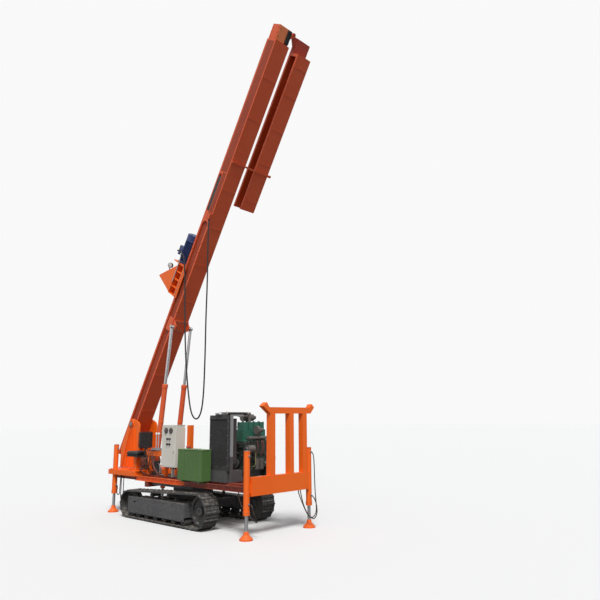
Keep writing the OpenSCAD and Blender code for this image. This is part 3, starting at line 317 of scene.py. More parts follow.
FINISHES = (
    Finish("orange_paint", (0.86, 0.125, 0.002), (0.88, 0.155, 0.008), 0.48, 0.05),
    Finish("mast_paint", (0.66, 0.085, 0.018), (0.72, 0.125, 0.035), 0.46, 0.12, "orange_paint"),
    # Painted shade: a dark copy of the mast's orange for the shaded webs in the mast's side
    # recesses.
    Finish("mast_web_painted_shade", (0.28, 0.032, 0.006), (0.36, 0.050, 0.014), 0.62, 0.10,
           "orange_paint"),
    # Painted light: a brighter copy of the orange for the lit rear face of the mast's head.
    Finish("head_painted_light", (0.95, 0.26, 0.090), (0.95, 0.32, 0.13), 0.42, 0.05,
           "orange_paint"),
    # Orange side channels of the main frame; the dark inner colour, on the inner rails and behind X
    # 0.45, is painted shade.
    Finish("frame_orange_and_inner_shade", (0.84, 0.125, 0.008), (0.86, 0.17, 0.020), 0.45, 0.15,
           "orange_paint", inner=(0.22, 0.030, 0.012), split=("Y", 0.645), behind=0.45),
    Finish("red_paint", (0.42, 0.045, 0.018), (0.50, 0.075, 0.030), 0.5, 0.2),
    Finish("winch_brown", (0.16, 0.032, 0.016), (0.22, 0.055, 0.030), 0.6, 0.25, "red_paint"),
    Finish("red_button", (0.55, 0.02, 0.02), (0.6, 0.04, 0.03), 0.35, 0.0, "red_paint"),
    Finish("red_cap", (0.42, 0.03, 0.02), (0.5, 0.05, 0.03), 0.4, 0.1, "red_paint"),
    Finish("leg_steel", (0.42, 0.42, 0.43), (0.30, 0.30, 0.30), 0.38, 0.1, "steel", 0.85,
           inner=(0.84, 0.125, 0.008), split=("Z", 0.140)),
    Finish("bright_steel", (0.62, 0.62, 0.63), (0.50, 0.50, 0.51), 0.25, 0.05, "steel", 1.0),
    Finish("rubbed_steel", (0.30, 0.30, 0.31), (0.22, 0.21, 0.20), 0.42, 0.2, "steel", 0.9),
    Finish("galvanised", (0.52, 0.53, 0.54), (0.42, 0.43, 0.44), 0.42, 0.15, "steel", 0.85),
    Finish("track_steel", (0.030, 0.030, 0.032), (0.075, 0.070, 0.065), 0.65, 0.6, bump=0.25,
           patch_scale=4.0),
    Finish("black_paint", (0.022, 0.022, 0.024), (0.05, 0.05, 0.05), 0.55, 0.35),
    Finish("dark_frame_paint", (0.055, 0.055, 0.06), (0.10, 0.10, 0.10), 0.6, 0.55, "black_paint",
           bump=0.12),
    Finish("green_paint", (0.050, 0.125, 0.022), (0.085, 0.18, 0.040), 0.5, 0.25),
    # Painted light: the tank's top, above Z 1.39, is a lighter green than its sides.
    Finish("tank_green_with_lit_top", (0.13, 0.25, 0.09), (0.18, 0.31, 0.13), 0.5, 0.25, "green_paint",
           inner=(0.055, 0.125, 0.028), split=("Z", 1.390)),
    Finish("pale_hose", (0.36, 0.36, 0.14), (0.42, 0.42, 0.20), 0.5, 0.2, "green_paint"),
    Finish("engine_green", (0.010, 0.095, 0.062), (0.022, 0.14, 0.095), 0.45, 0.25, "engine_paint",
           inner=(0.014, 0.024, 0.020), split=("Z", 1.53)),
    Finish("grey_paint", (0.20, 0.21, 0.22), (0.28, 0.28, 0.29), 0.5, 0.3),
    Finish("engine_grey", (0.085, 0.078, 0.070), (0.13, 0.12, 0.11), 0.55, 0.35, "grey_paint"),
    Finish("box_grey", (0.24, 0.25, 0.26), (0.30, 0.30, 0.31), 0.5, 0.3, "grey_paint",
           inner=(0.060, 0.060, 0.062), split=("Z", 1.28)),
    Finish("cream_paint", (0.62, 0.60, 0.53), (0.70, 0.68, 0.62), 0.45, 0.15),
    Finish("gauge_face", (0.75, 0.75, 0.72), (0.80, 0.80, 0.78), 0.3, 0.0, "cream_paint"),
    Finish("motor_blue", (0.020, 0.038, 0.145), (0.045, 0.070, 0.22), 0.4, 0.2, "blue_paint"),
    Finish("steel_rope", (0.10, 0.045, 0.028), (0.16, 0.09, 0.06), 0.7, 0.2, "rope", bump=0.5,
           patch_scale=30.0),
    Finish("dial_face", (0.035, 0.035, 0.038), (0.05, 0.05, 0.05), 0.3, 0.0, "black_rubber"),
    Finish("black_rubber", (0.014, 0.014, 0.015), (0.03, 0.03, 0.03), 0.6, 0.2, bump=0.08,
           grain_scale=400.0, gloss=Gloss.RUBBER),
    Finish("seat_vinyl", (0.018, 0.018, 0.020), (0.035, 0.034, 0.034), 0.5, 0.15, "seat_cover",
           bump=0.25, grain_scale=420.0, gloss=Gloss.RUBBER),
    Finish("hydraulic_hose", (0.030, 0.022, 0.018), (0.075, 0.045, 0.030), 0.6, 0.3,
           "black_rubber", bump=0.1, grain_scale=300.0, gloss=Gloss.RUBBER),
    Finish("brown_hose", (0.12, 0.030, 0.022), (0.20, 0.070, 0.050), 0.6, 0.3, "black_rubber",
           bump=0.1, grain_scale=300.0, gloss=Gloss.RUBBER),
)

# The first start of a node's name that fits gives its finish.
NODE_FINISH = {
    "track_frame": "dark_frame_paint", "cross_frame": "dark_frame_paint", "track": "track_steel",
    "wheels": "track_steel", "main_frame": "frame_orange_and_inner_shade", "leg_foot": "leg_steel",
    "mast_strip": "black_paint", "mast_beam": "mast_paint", "mast_head": "mast_paint",
    "clamp_bar": "mast_paint", "upper_section": "mast_paint", "upper_neck": "red_paint",
    "lift_rods": "bright_steel", "lift": "mast_paint", "power_cable": "black_rubber",
    "drive_motor": "motor_blue", "drive_flange": "rubbed_steel", "winch_frame": "winch_brown",
    "winch_drum": "steel_rope", "seat_cushion": "seat_vinyl", "cabinet": "cream_paint",
    "fuel_tank": "tank_green_with_lit_top", "base_box": "box_grey", "radiator": "black_paint",
    "engine_parts": "engine_grey", "engine_fan": "black_paint", "engine": "engine_green",
    "": "orange_paint",
}


class Paintshop:
    """Makes every finish and puts it on the pieces."""

    def __init__(self) -> None:
        """Builds the materials."""
        groups = ShaderGroups()
        self.materials = {f.name: f.build(groups) for f in FINISHES}
        self.slots = {f.name: f.slot or f.name for f in FINISHES}

    def coat(self, obj: bpy.types.Object, finish: str) -> None:
        """Gives a whole piece one finish."""
        obj.data.materials.clear()
        obj.data.materials.append(self.materials[finish])

    def coat_nodes(self, nodes: dict[str, bpy.types.Object]) -> None:
        """Puts a finish on every CAD node.

        Args:
            nodes: the CAD nodes by name.
        """
        for name, obj in nodes.items():
            finish = next(f for start, f in NODE_FINISH.items() if name.startswith(start))
            if not obj.material_slots:
                obj.data.materials.append(self.materials[finish])
            for slot in obj.material_slots:
                slot.material = self.materials[finish]


@dataclass
class Studio:
    """The floor, the light and the camera of the photograph."""

    eye: Point = (9.8304, -7.466, 1.93)
    heading: tuple[float, float] = (-0.682, 0.731)
    pitch: float = math.radians(11.63)
    roll: float = math.radians(0.49)
    focal_px: float = 578.4
    frame_px: int = 600
    sensor: float = 36.0
    floor_reach: float = 150.0

    def camera(self) -> None:
        """Places the camera where the photograph was taken."""
        data = bpy.data.cameras.new("camera")
        data.sensor_fit = "HORIZONTAL"
        data.sensor_width = self.sensor
        data.lens = self.sensor * self.focal_px / self.frame_px
        cam = show("camera", data)
        flat = Vector((*self.heading, 0)).normalized()
        forward = flat * math.cos(self.pitch) + UP * math.sin(self.pitch)
        right = flat.cross(UP).normalized()
        up = right.cross(forward).normalized()
        turn = Matrix.Rotation(self.roll, 3, forward)
        basis = Matrix((turn @ right, turn @ up, -forward)).transposed().to_4x4()
        cam.matrix_world = Matrix.Translation(Vector(self.eye)) @ basis
        bpy.context.scene.camera = cam

    def light(self) -> None:
        """Hangs two soft lamps and a pale sky."""
        scene = bpy.context.scene
        scene.view_settings.view_transform = "Standard"
        scene.world = bpy.data.worlds.new("studio_air")
        scene.world.use_nodes = True
        tree = scene.world.node_tree
        lit = tree.nodes["Background"]
        lit.inputs["Color"].default_value = (0.92, 0.94, 1.0, 1)
        lit.inputs["Strength"].default_value = 0.29
        seen = wire(tree, "ShaderNodeBackground", {"Color": (1, 1, 1, 1), "Strength": 0.95})
        path = wire(tree, "ShaderNodeLightPath")
        either = calc(tree, "MAXIMUM", path["Is Camera Ray"], path["Is Glossy Ray"])
        air = wire(tree, "ShaderNodeMixShader", {0: either, 1: lit.outputs[0], 2: seen[0]})
        tree.links.new(air[0], tree.nodes["World Output"].inputs["Surface"])
        for name, towards, strength, spread_angle in (
                ("key_sun", (0.60, -0.50, 1.0), 2.9, 18.0),
                ("fill_sun", (0.5, -0.9, 0.3), 0.55, 60.0)):
            data = bpy.data.lights.new(name, "SUN")
            data.energy = strength
            data.angle = math.radians(spread_angle)
            lamp = show(name, data)
            lamp.rotation_euler = Vector(towards).to_track_quat("Z", "Y").to_euler()

    def floor(self) -> None:
        """Lays a pale floor that goes on to the edge of sight."""
        mesh = bpy.data.meshes.new("studio_floor")
        r = self.floor_reach
        mesh.from_pydata([(-r, -r, 0), (r, -r, 0), (r, r, 0), (-r, r, 0)], [], [(0, 1, 2, 3)])
        obj = show("studio_floor", mesh)
        mat = bpy.data.materials.new("floor_paint")
        mat.use_nodes = True
        tree = mat.node_tree
        shader = tree.nodes["Principled BSDF"].inputs
        shader["Roughness"].default_value = 0.9
        seen = wire(tree, "ShaderNodeLightPath")["Is Camera Ray"]
        shade = mix(tree, seen, (0.22, 0.215, 0.21, 1), (0.86, 0.86, 0.85, 1))
        tree.links.new(shade, shader["Base Color"])
        mesh.materials.append(mat)


def metres(point: Sequence[float]) -> Point:
    """Turns millimetres into metres."""
    return tuple(v / 1000 for v in point)


def at(x: float, y: float, z: float) -> Vector:
    """Turns a place counted from the line of the rear legs into the part's frame."""
    return Vector((x + REAR_X, y, z))


TILT_PIN = at(-4.36, MAST_Y, 1.85)


def on_mast(n: float, y: float, u: float) -> Vector:
    """Turns a place in the mast's own frame into the part's frame.

    Args:
        n: distance from the tilt pin towards the rear face.
        y: distance from the mast's middle to the far side.
        u: distance from the tilt pin along the mast.

    Returns:
        The place in the part's frame.
    """
    return TILT_PIN + Vector((0.0, y, 0.0)) - MAST_FRONT * n + MAST_UP * u


def smooth_route(points: Sequence[Sequence[float]], steps: int = 5) -> list[Vector]:
    """Fills a route in with points on a smooth curve through it.

    Args:
        points: the route's points.
        steps: how many stretches each gap gets.

    Returns:
        The points of the curve.
    """
    pts = [Vector(p) for p in points]
    last = len(pts) - 1
    out = []
    for i in range(last):
        a, b, c, d = pts[max(i - 1, 0)], pts[i], pts[i + 1], pts[min(i + 2, last)]
        for s in range(steps):
            k = s / steps
            out.append(0.5 * (2 * b + (c - a) * k + (2 * a - 5 * b + 4 * c - d) * k * k
                              + (3 * b - a - 3 * c + d) * k ** 3))
    return out + [pts[-1]]


def circle(u: Vector, v: Vector, count: int, shift: float = 0.0) -> list[Vector]:
    """Gives even directions round a circle, from u towards v."""
    turns = [2 * math.pi * (k + shift) / count for k in range(count)]
    return [math.cos(a) * u + math.sin(a) * v for a in turns]


class Maker:
    """Collects simple solids into one mesh, in the part's frame."""

    def __init__(self) -> None:
        """Starts with an empty mesh."""
        self.bm = bmesh.new()

    def add(self, points: Sequence[Vector], faces: Sequence[Sequence[int]],
            smooth: bool = False) -> None:
        """Adds corners and faces.

        Args:
            points: the corners.
            faces: the corners of each face.
            smooth: whether the faces are shaded smooth.
        """
        verts = [self.bm.verts.new(p) for p in points]
        for face in faces:
            self.bm.faces.new([verts[i] for i in face]).smooth = smooth

    def slab(self, origin: Vector, a: Vector, b: Vector, c: Vector) -> None:
        """Adds a box from one corner and its three edges.

        Args:
            origin: the corner.
            a: the first edge.
            b: the second edge.
            c: the third edge.
        """
        if a.cross(b).dot(c) < 0:
            a, b = b, a
        pts = [origin + i * a + j * b + k * c for k in (0, 1) for j in (0, 1) for i in (0, 1)]
        self.add(pts, [(0, 2, 3, 1), (4, 5, 7, 6), (0, 1, 5, 4), (2, 6, 7, 3), (0, 4, 6, 2),
                       (1, 3, 7, 5)])

    def box(self, low: Vector, high: Vector) -> None:
        """Adds a box that lies along the axes, between two corners."""
        d = high - low
        self.slab(low, Vector((d.x, 0, 0)), Vector((0, d.y, 0)), Vector((0, 0, d.z)))

    def block(self, low: Vector, *size: float) -> None:
        """Adds a box that lies along the axes, from its lowest corner and its size."""
        self.box(low, low + Vector(size))

    def _rings(self, pts: Sequence[Vector], sides: int, bored: bool = False,
               smooth: bool = False) -> None:
        """Adds the faces between rings of points, with a lid at each end.

        Args:
            pts: the points, ring after ring.
            sides: corners of each ring.
            bored: whether the last ring joins the first one, which leaves a hole.
            smooth: whether the faces are shaded smooth.
        """
        rings = len(pts) // sides
        faces = []
        for r in range(rings if bored else rings - 1):
            low, high = r * sides, (r + 1) % rings * sides
            for k in range(sides):
                n = (k + 1) % sides
                faces.append((low + k, low + n, high + n, high + k))
        if not bored:
            faces.append(tuple(reversed(range(sides))))
            faces.append(tuple((rings - 1) * sides + k for k in range(sides)))
        self.add(pts, faces, smooth)

    def turned(self, centre: Vector, axis: Vector, profile: Sequence[tuple[float, float]],
               sides: int = 24, bored: bool = False) -> None:
        """Adds a turned solid.

        Args:
            centre: where the profile's height is zero.
            axis: the direction of its axis.
            profile: radius and height of each ring, from the bottom up.
            sides: corners of each ring.
            bored: whether the last ring joins the first one, which leaves a hole.
        """
        axis = axis.normalized()
        u = axis.orthogonal().normalized()
        arms = circle(u, axis.cross(u), sides)
        self._rings([centre + axis * (height / 1000) + radius / 1000 * arm
                     for radius, height in profile for arm in arms], sides, bored)

    def bar(self, a: Vector, b: Vector, radius: float, sides: int = 14) -> None:
        """Adds a round bar between two places."""
        self.turned(a, b - a, [(radius, 0.0), (radius, (b - a).length * 1000)], sides)

    def tube(self, route: Sequence[Vector], radius: float, sides: int = 12) -> None:
        """Adds a tube along a route, closed at its ends.

        Args:
            route: the points of its middle line.
            radius: its radius.
            sides: corners of each ring.
        """
        pts = []
        last = len(route) - 1
        side = None
        for i, p in enumerate(route):
            t = (route[min(i + 1, last)] - route[max(i - 1, 0)]).normalized()
            side = t.orthogonal() if side is None else side - side.dot(t) * t
            side.normalize()
            pts += [p + radius / 1000 * arm for arm in circle(side, t.cross(side), sides)]
        self._rings(pts, sides, smooth=True)

    def pipe(self, route: Sequence[Point], radius: float, sides: int = 8) -> None:
        """Adds a bent pipe along a route that is counted from the line of the rear legs."""
        self.tube([at(*p) for p in smooth_route([metres(q) for q in route])], radius, sides)

    def done(self, name: str, bevel: float = 0.0) -> bpy.types.Object:
        """Makes the object.

        Args:
            name: its name.
            bevel: how far sharp edges are rounded, or 0.

        Returns:
            The object, with its place in its mesh.
        """
        mesh = bpy.data.meshes.new(name)
        self.bm.normal_update()
        self.bm.to_mesh(mesh)
        self.bm.free()
        obj = show(name, mesh)
        if bevel > 0:
            mod = obj.modifiers.new("rounded", "BEVEL")
            mod.width = bevel / 1000
            mod.segments = 2
            mod.limit_method = "ANGLE"
            mod.angle_limit = math.radians(40)
        return obj


class Repeat(Enum):
    """What a field of repeated pieces is made of, by the corners of its outline."""

    HEX = 6
    ROUND = 12
    BAR = 4


@dataclass
class Spot:
    """One place of a repeated piece: where it stands, where it points and how it is turned."""

    place: Vector
    aim: Vector
    along: Vector = REAR


class Field:
    """A Geometry Nodes tree that sets one piece on every point, turned by its attributes."""

    def __init__(self, kind: Repeat) -> None:
        """Builds the tree.

        Args:
            kind: the piece that is repeated.
        """
        name = "field_of_" + kind.name.lower()
        tree = self.tree = bpy.data.node_groups.new(name, "GeometryNodeTree")
        self.ids = {
            label: tree.interface.new_socket(label, in_out=way, socket_type=socket).identifier
            for label, way, socket in (
                ("Points", "INPUT", "NodeSocketGeometry"), ("Size", "INPUT", "NodeSocketVector"),
                ("Material", "INPUT", "NodeSocketMaterial"),
                ("Pieces", "OUTPUT", "NodeSocketGeometry"))}
        given = wire(tree, "NodeGroupInput")
        if kind is Repeat.BAR:
            shape = wire(tree, "GeometryNodeMeshCube")
        else:
            shape = wire(tree, "GeometryNodeMeshCylinder",
                         {"Vertices": kind.value, "Radius": 0.5, "Depth": 1.0})
        stand = wire(tree, "GeometryNodeTransform",
                     {"Geometry": shape["Mesh"], "Translation": (0, 0, 0.5)})
        turn: dict = {}
        for label, axis, pivot in (("aim", "Z", "AUTO"), ("along", "X", "Z")):
            way = wire(tree, "GeometryNodeInputNamedAttribute", {"Name": label},
                       data_type="FLOAT_VECTOR")
            turned = wire(tree, "FunctionNodeAlignRotationToVector",
                          {"Vector": way["Attribute"], **turn}, axis=axis, pivot_axis=pivot)
            turn = {"Rotation": turned["Rotation"]}
        copies = wire(tree, "GeometryNodeInstanceOnPoints", {
            "Points": given["Points"], "Instance": stand["Geometry"], "Scale": given["Size"],
            **turn})
        real = wire(tree, "GeometryNodeRealizeInstances", {"Geometry": copies["Instances"]})
        paint = wire(tree, "GeometryNodeSetMaterial",
                     {"Geometry": real["Geometry"], "Material": given["Material"]})
        wire(tree, "NodeGroupOutput", {"Pieces": paint["Geometry"]})

    def lay(self, name: str, spots: Sequence[Spot], size: Point,
            material: bpy.types.Material) -> bpy.types.Object:
        """Sets the piece on every spot and turns the result into a plain mesh.

        Args:
            name: the name of the new object.
            spots: the places.
            size: length, width and height of one piece.
            material: its material.

        Returns:
            The object.
        """
        mesh = bpy.data.meshes.new(name + "_spots")
        mesh.from_pydata([s.place for s in spots], [], [])
        for label in ("aim", "along"):
            values = [c for s in spots for c in getattr(s, label)]
            mesh.attributes.new(label, "FLOAT_VECTOR", "POINT").data.foreach_set("vector", values)
        obj = show(name, mesh)
        mod = obj.modifiers.new("field", "NODES")
        mod.node_group = self.tree
        mod[self.ids["Size"]] = metres(size)
        mod[self.ids["Material"]] = material
        graph = bpy.context.evaluated_depsgraph_get()
        made = bpy.data.meshes.new_from_object(obj.evaluated_get(graph))
        obj.modifiers.remove(mod)
        obj.data = made
        made.name = name
        bpy.data.meshes.remove(mesh)
        return obj


def ring_spots(centre: Vector, axis: Vector, radius: float, count: int) -> list[Spot]:
    """Places evenly round a circle, all pointing along its axis.

    Args:
        centre: the middle of the circle.
        axis: the way they point.
        radius: the circle's radius, in metres.
        count: how many there are.

    Returns:
        The places.
    """
    axis = axis.normalized()
    u = axis.orthogonal().normalized()
    return [Spot(centre + radius * arm, axis, arm)
            for arm in circle(u, axis.cross(u), count, 0.5)]


def row_spots(a: Vector, b: Vector, count: int, aim: Vector, along: Vector = REAR) -> list[Spot]:
    """Places evenly on a line from a to b, which point and lie as they are told."""
    return [Spot(a.lerp(b, k / max(count - 1, 1)), aim, along) for k in range(count)]


class Workshop:
    """What every sub-assembly works with: the paint and the fields of repeated pieces."""

    def __init__(self, shop: Paintshop) -> None:
        """Builds the fields once."""
        self.shop = shop
        self.fields = {kind: Field(kind) for kind in Repeat}

    def _ride(self, obj: bpy.types.Object, body: str) -> bpy.types.Object:
        """Lets a painted piece ride on its body.

        Args:
            obj: the piece.
            body: the body that it rides on.

        Returns:
            The piece.
        """
        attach(obj, body)
        LOG.info("%s on %s: %d faces", obj.name, body, len(obj.data.polygons))
        return obj

    def finish(self, obj: bpy.types.Object, finish: str,
               body: str = "chassis") -> bpy.types.Object:
        """Paints a piece and lets it ride on its body."""
        self.shop.coat(obj, finish)
        return self._ride(obj, body)

    def repeat(self, kind: Repeat, name: str, spots: Sequence[Spot], size: Point,
               finish: str = "rubbed_steel", body: str = "chassis") -> None:
        """Lays a field of repeated pieces and lets it ride on its body."""
        obj = self.fields[kind].lay(name, spots, size, self.shop.materials[finish])
        self._ride(obj, body)

    def bolts(self, name: str, spots: Sequence[Spot], across: float, height: float,
              finish: str = "rubbed_steel", body: str = "chassis") -> None:
        """Lays a field of bolt heads and lets it ride on its body."""
        self.repeat(Repeat.HEX, name, spots, (across, across, height), finish, body)

    def cord(self, name: str, points: Sequence[Vector], diameter: float, finish: str,
             body: str = "chassis") -> bpy.types.Object:
        """Args:
            name: its name.
            points: its route.
            diameter: its diameter, in millimetres.
            finish: the finish's name.
            body: the body that it rides on.

        Returns:
            The cord.
        """
        route = smooth_route(points, 6)
        maker = Maker()
        maker.tube(route, diameter / 2, 12)
        obj = self.finish(maker.done(name), finish, body)
        return obj


@dataclass
class PowerCable:
    """The motor's cable, which hangs in a long bight beside the mast."""

    diameter: float = 30.0
    route: tuple[Point, ...] = (
        (-570, -206, 5626), (-570, -262, 5622), (-520, -318, 5600), (-430, -336, 5565),
        (-310, -336, 5470), (-244, -336, 5340), (-215, -336, 5150), (-189, -336, 4870),
        (-143, -336, 3995), (-63, -336, 3146), (60, -336, 2450), (180, -336, 2070),
        (340, -336, 1950), (480, -336, 2070), (550, -336, 2420), (572, -336, 3100),
        (573, -336, 3907), (586, -336, 4737), (572, -330, 5500), (556, -316, 5850),
        (545, -306, 6054))

    def dress(self, work: Workshop) -> None:
        """Hangs the cable in the place of its solid.

        Args:
            work: the workshop.
        """
        points = [Vector(metres(p)) for p in self.route]
        obj = work.cord("hanging_power_cable", points, self.diameter, "black_rubber", "mast")
        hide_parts("power_cable")
        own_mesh(obj)


@dataclass
class Legs:
    """Ports, hoses and fittings of the four support legs."""

    gauge: float = 1.53
    front_gauge: float = 1.24
    front_x: float = -4.47
    top: float = 1.41
    port_heights: tuple[float, float] = (0.56, 1.33)
    collar: tuple[float, float] = (0.057, 0.43)
    plate_bolts: tuple[float, float] = (0.062, 0.904)
    hose_d: float = 18.0
    routes: tuple[tuple[str, tuple[Point, ...]], ...] = (
        ("hose_rear_far_outer", (
            (-20, 560, 679), (-10, 562, 600), (30, 585, 420), (90, 625, 260), (130, 690, 185),
            (145, 765, 180), (150, 815, 270), (140, 815, 400), (115, 785, 510), (78, 765, 560))),
        ("hose_rear_far_inner", (
            (-20, 500, 679), (0, 503, 600), (60, 530, 440), (120, 585, 270), (165, 650, 205),
            (185, 720, 240), (185, 760, 360), (150, 768, 700), (135, 768, 1150),
            (115, 766, 1290), (78, 765, 1330))),
        ("hose_rear_near", (
            (-300, -675, 715), (-300, -672, 640), (-250, -640, 480), (-130, -600, 340),
            (20, -590, 270), (120, -640, 280), (160, -725, 385), (150, -755, 460),
            (145, -762, 500), (137, -765, 530), (115, -765, 552), (78, -765, 560))),
        ("hose_front_near", (
            (-4190, -640, 868), (-4190, -642, 760), (-4190, -648, 600), (-4190, -652, 440),
            (-4199, -650, 406), (-4224, -648, 382), (-4258, -646, 372), (-4291, -644, 382),
            (-4316, -642, 406), (-4325, -640, 440), (-4325, -632, 500), (-4333, -628, 530),
            (-4355, -624, 552), (-4385, -621, 560), (-4392, -620, 560))),
        ("hose_front_far", (
            (-4300, -560, 868), (-4300, -560, 760), (-4300, -560, 560), (-4300, -560, 345),
            (-4309, -551, 295), (-4335, -525, 259), (-4370, -490, 246), (-4405, -455, 259),
            (-4431, -429, 295), (-4440, -420, 345), (-4440, -420, 520), (-4440, -420, 700),
            (-4440, -420, 868))))

    def dress(self, work: Workshop) -> None:
        """Makes the fittings and hangs the hoses that are in view.

        Args:
            work: the workshop.
        """
        fittings, ports = Maker(), []
        collar_r, collar_z = self.collar
        off, plate_z = self.plate_bolts
        for x, gauge in ((self.front_x, self.front_gauge), (0.0, self.gauge)):
            for side in SIDES:
                c = at(x, side * gauge / 2, 0.0)
                for z in self.port_heights:
                    fittings.turned(c + UP * z + REAR * 0.050, REAR,
                                    [(16, 0), (16, 18), (11, 22), (11, 34)], 12)
                fittings.turned(c + UP * (self.top - 0.001), UP, [(45, 0), (45, 6), (30, 10)], 20)
                for aim in circle(REAR, FAR, 6, 0.5):
                    ports.append(Spot(c + aim * collar_r + UP * collar_z, aim, UP))
                if x < 0:
                    ports += [Spot(c + Vector((a, b, plate_z)), UP)
                              for a in (-off, off) for b in (-off, off)]
                else:
                    ports += [Spot(c + UP * z - FAR * side * 0.02 + REAR * 0.035, REAR)
                              for z in (0.78, 0.855)]
        work.finish(fittings.done("leg_ports", 1), "rubbed_steel")
        work.bolts("leg_bolts", ports, 14, 6)
        for name, route in self.routes:
            work.cord(name, [at(*metres(p)) for p in route], self.hose_d, "hydraulic_hose")


@dataclass
class DeckHoses:
    """Hoses between the pipe block, the console, the valve bank, the winch and the engine.

    A route has its hose's name, finish and diameter, and the valve that it leaves from, if any.
    """

    valve_exit: tuple[tuple[int, int], ...] = (
        (-596, 1337), (-648, 1337), (-685, 1327), (-713, 1300), (-723, 1262))
    routes: tuple[tuple[str, str, float, int | None, tuple[Point, ...]], ...] = (
        ("hose_valve_one", "hydraulic_hose", 18.0, -3110, (
            (-3112, -708, 1130), (-3115, -670, 1020), (-3113, -615, 930), (-3107, -560, 878),
            (-3100, -500, 852))),
        ("hose_valve_two", "hydraulic_hose", 18.0, -2970, (
            (-2985, -722, 1140), (-3040, -705, 1010), (-3105, -655, 920), (-3148, -590, 872),
            (-3160, -500, 850))),
        ("hose_winch", "hydraulic_hose", 18.0, None, (
            (-3215, -445, 850), (-3270, -448, 868), (-3400, -450, 940), (-3560, -448, 965),
            (-3740, -425, 960), (-3860, -370, 990), (-3940, -322, 1020), (-3985, -296, 1040))),
        ("hose_console_front", "brown_hose", 18.0, None, (
            (-3180, -548, 1214), (-3182, -556, 1150), (-3230, -600, 1075), (-3330, -630, 1045),
            (-3420, -630, 990), (-3435, -622, 915), (-3380, -600, 862), (-3300, -560, 845),
            (-3240, -520, 841), (-3225, -478, 841))),
        ("hose_console_rear", "brown_hose", 18.0, None, (
            (-3060, -548, 1214), (-3058, -556, 1150), (-3020, -600, 1070), (-2945, -635, 1015),
            (-2860, -652, 965), (-2802, -645, 908), (-2800, -605, 865), (-2840, -555, 847),
            (-2895, -515, 842), (-2950, -485, 841))),
        ("hose_console_winch", "brown_hose", 18.0, None, (
            (-3120, -548, 1214), (-3122, -556, 1140), (-3150, -600, 1040), (-3230, -645, 965),
            (-3340, -665, 950), (-3450, -655, 960), (-3530, -600, 935), (-3595, -520, 914),
            (-3680, -440, 902), (-3800, -385, 902), (-3900, -350, 915), (-3925, -300, 935))),
        ("hose_valve_three", "brown_hose", 18.0, -3040, (
            (-3085, -738, 1150), (-3185, -738, 1030), (-3290, -715, 945), (-3380, -665, 885),
            (-3435, -600, 852), (-3455, -535, 842), (-3455, -480, 841))),
        ("hose_valve_four", "brown_hose", 18.0, -2900, (
            (-2885, -728, 1150), (-2840, -718, 1010), (-2785, -690, 920), (-2742, -640, 868),
            (-2728, -580, 846), (-2734, -500, 841))),
        ("engine_drain_hose", "pale_hose", 12.0, None, (
            (-829, 110, 1430), (-792, 110, 1423), (-760, 111, 1403), (-742, 112, 1365),
            (-740, 115, 1300), (-742, 118, 1210), (-744, 116, 1130), (-760, 113, 1092),
            (-792, 111, 1070), (-829, 110, 1064))))

    def dress(self, work: Workshop) -> None:
        """Hangs the hoses.

        Args:
            work: the workshop.
        """
        for name, finish, diameter, valve, route in self.routes:
            if valve is not None:
                route = tuple((valve, y, z) for y, z in self.valve_exit) + route
            work.cord(name, [at(*metres(p)) for p in route], diameter, finish)


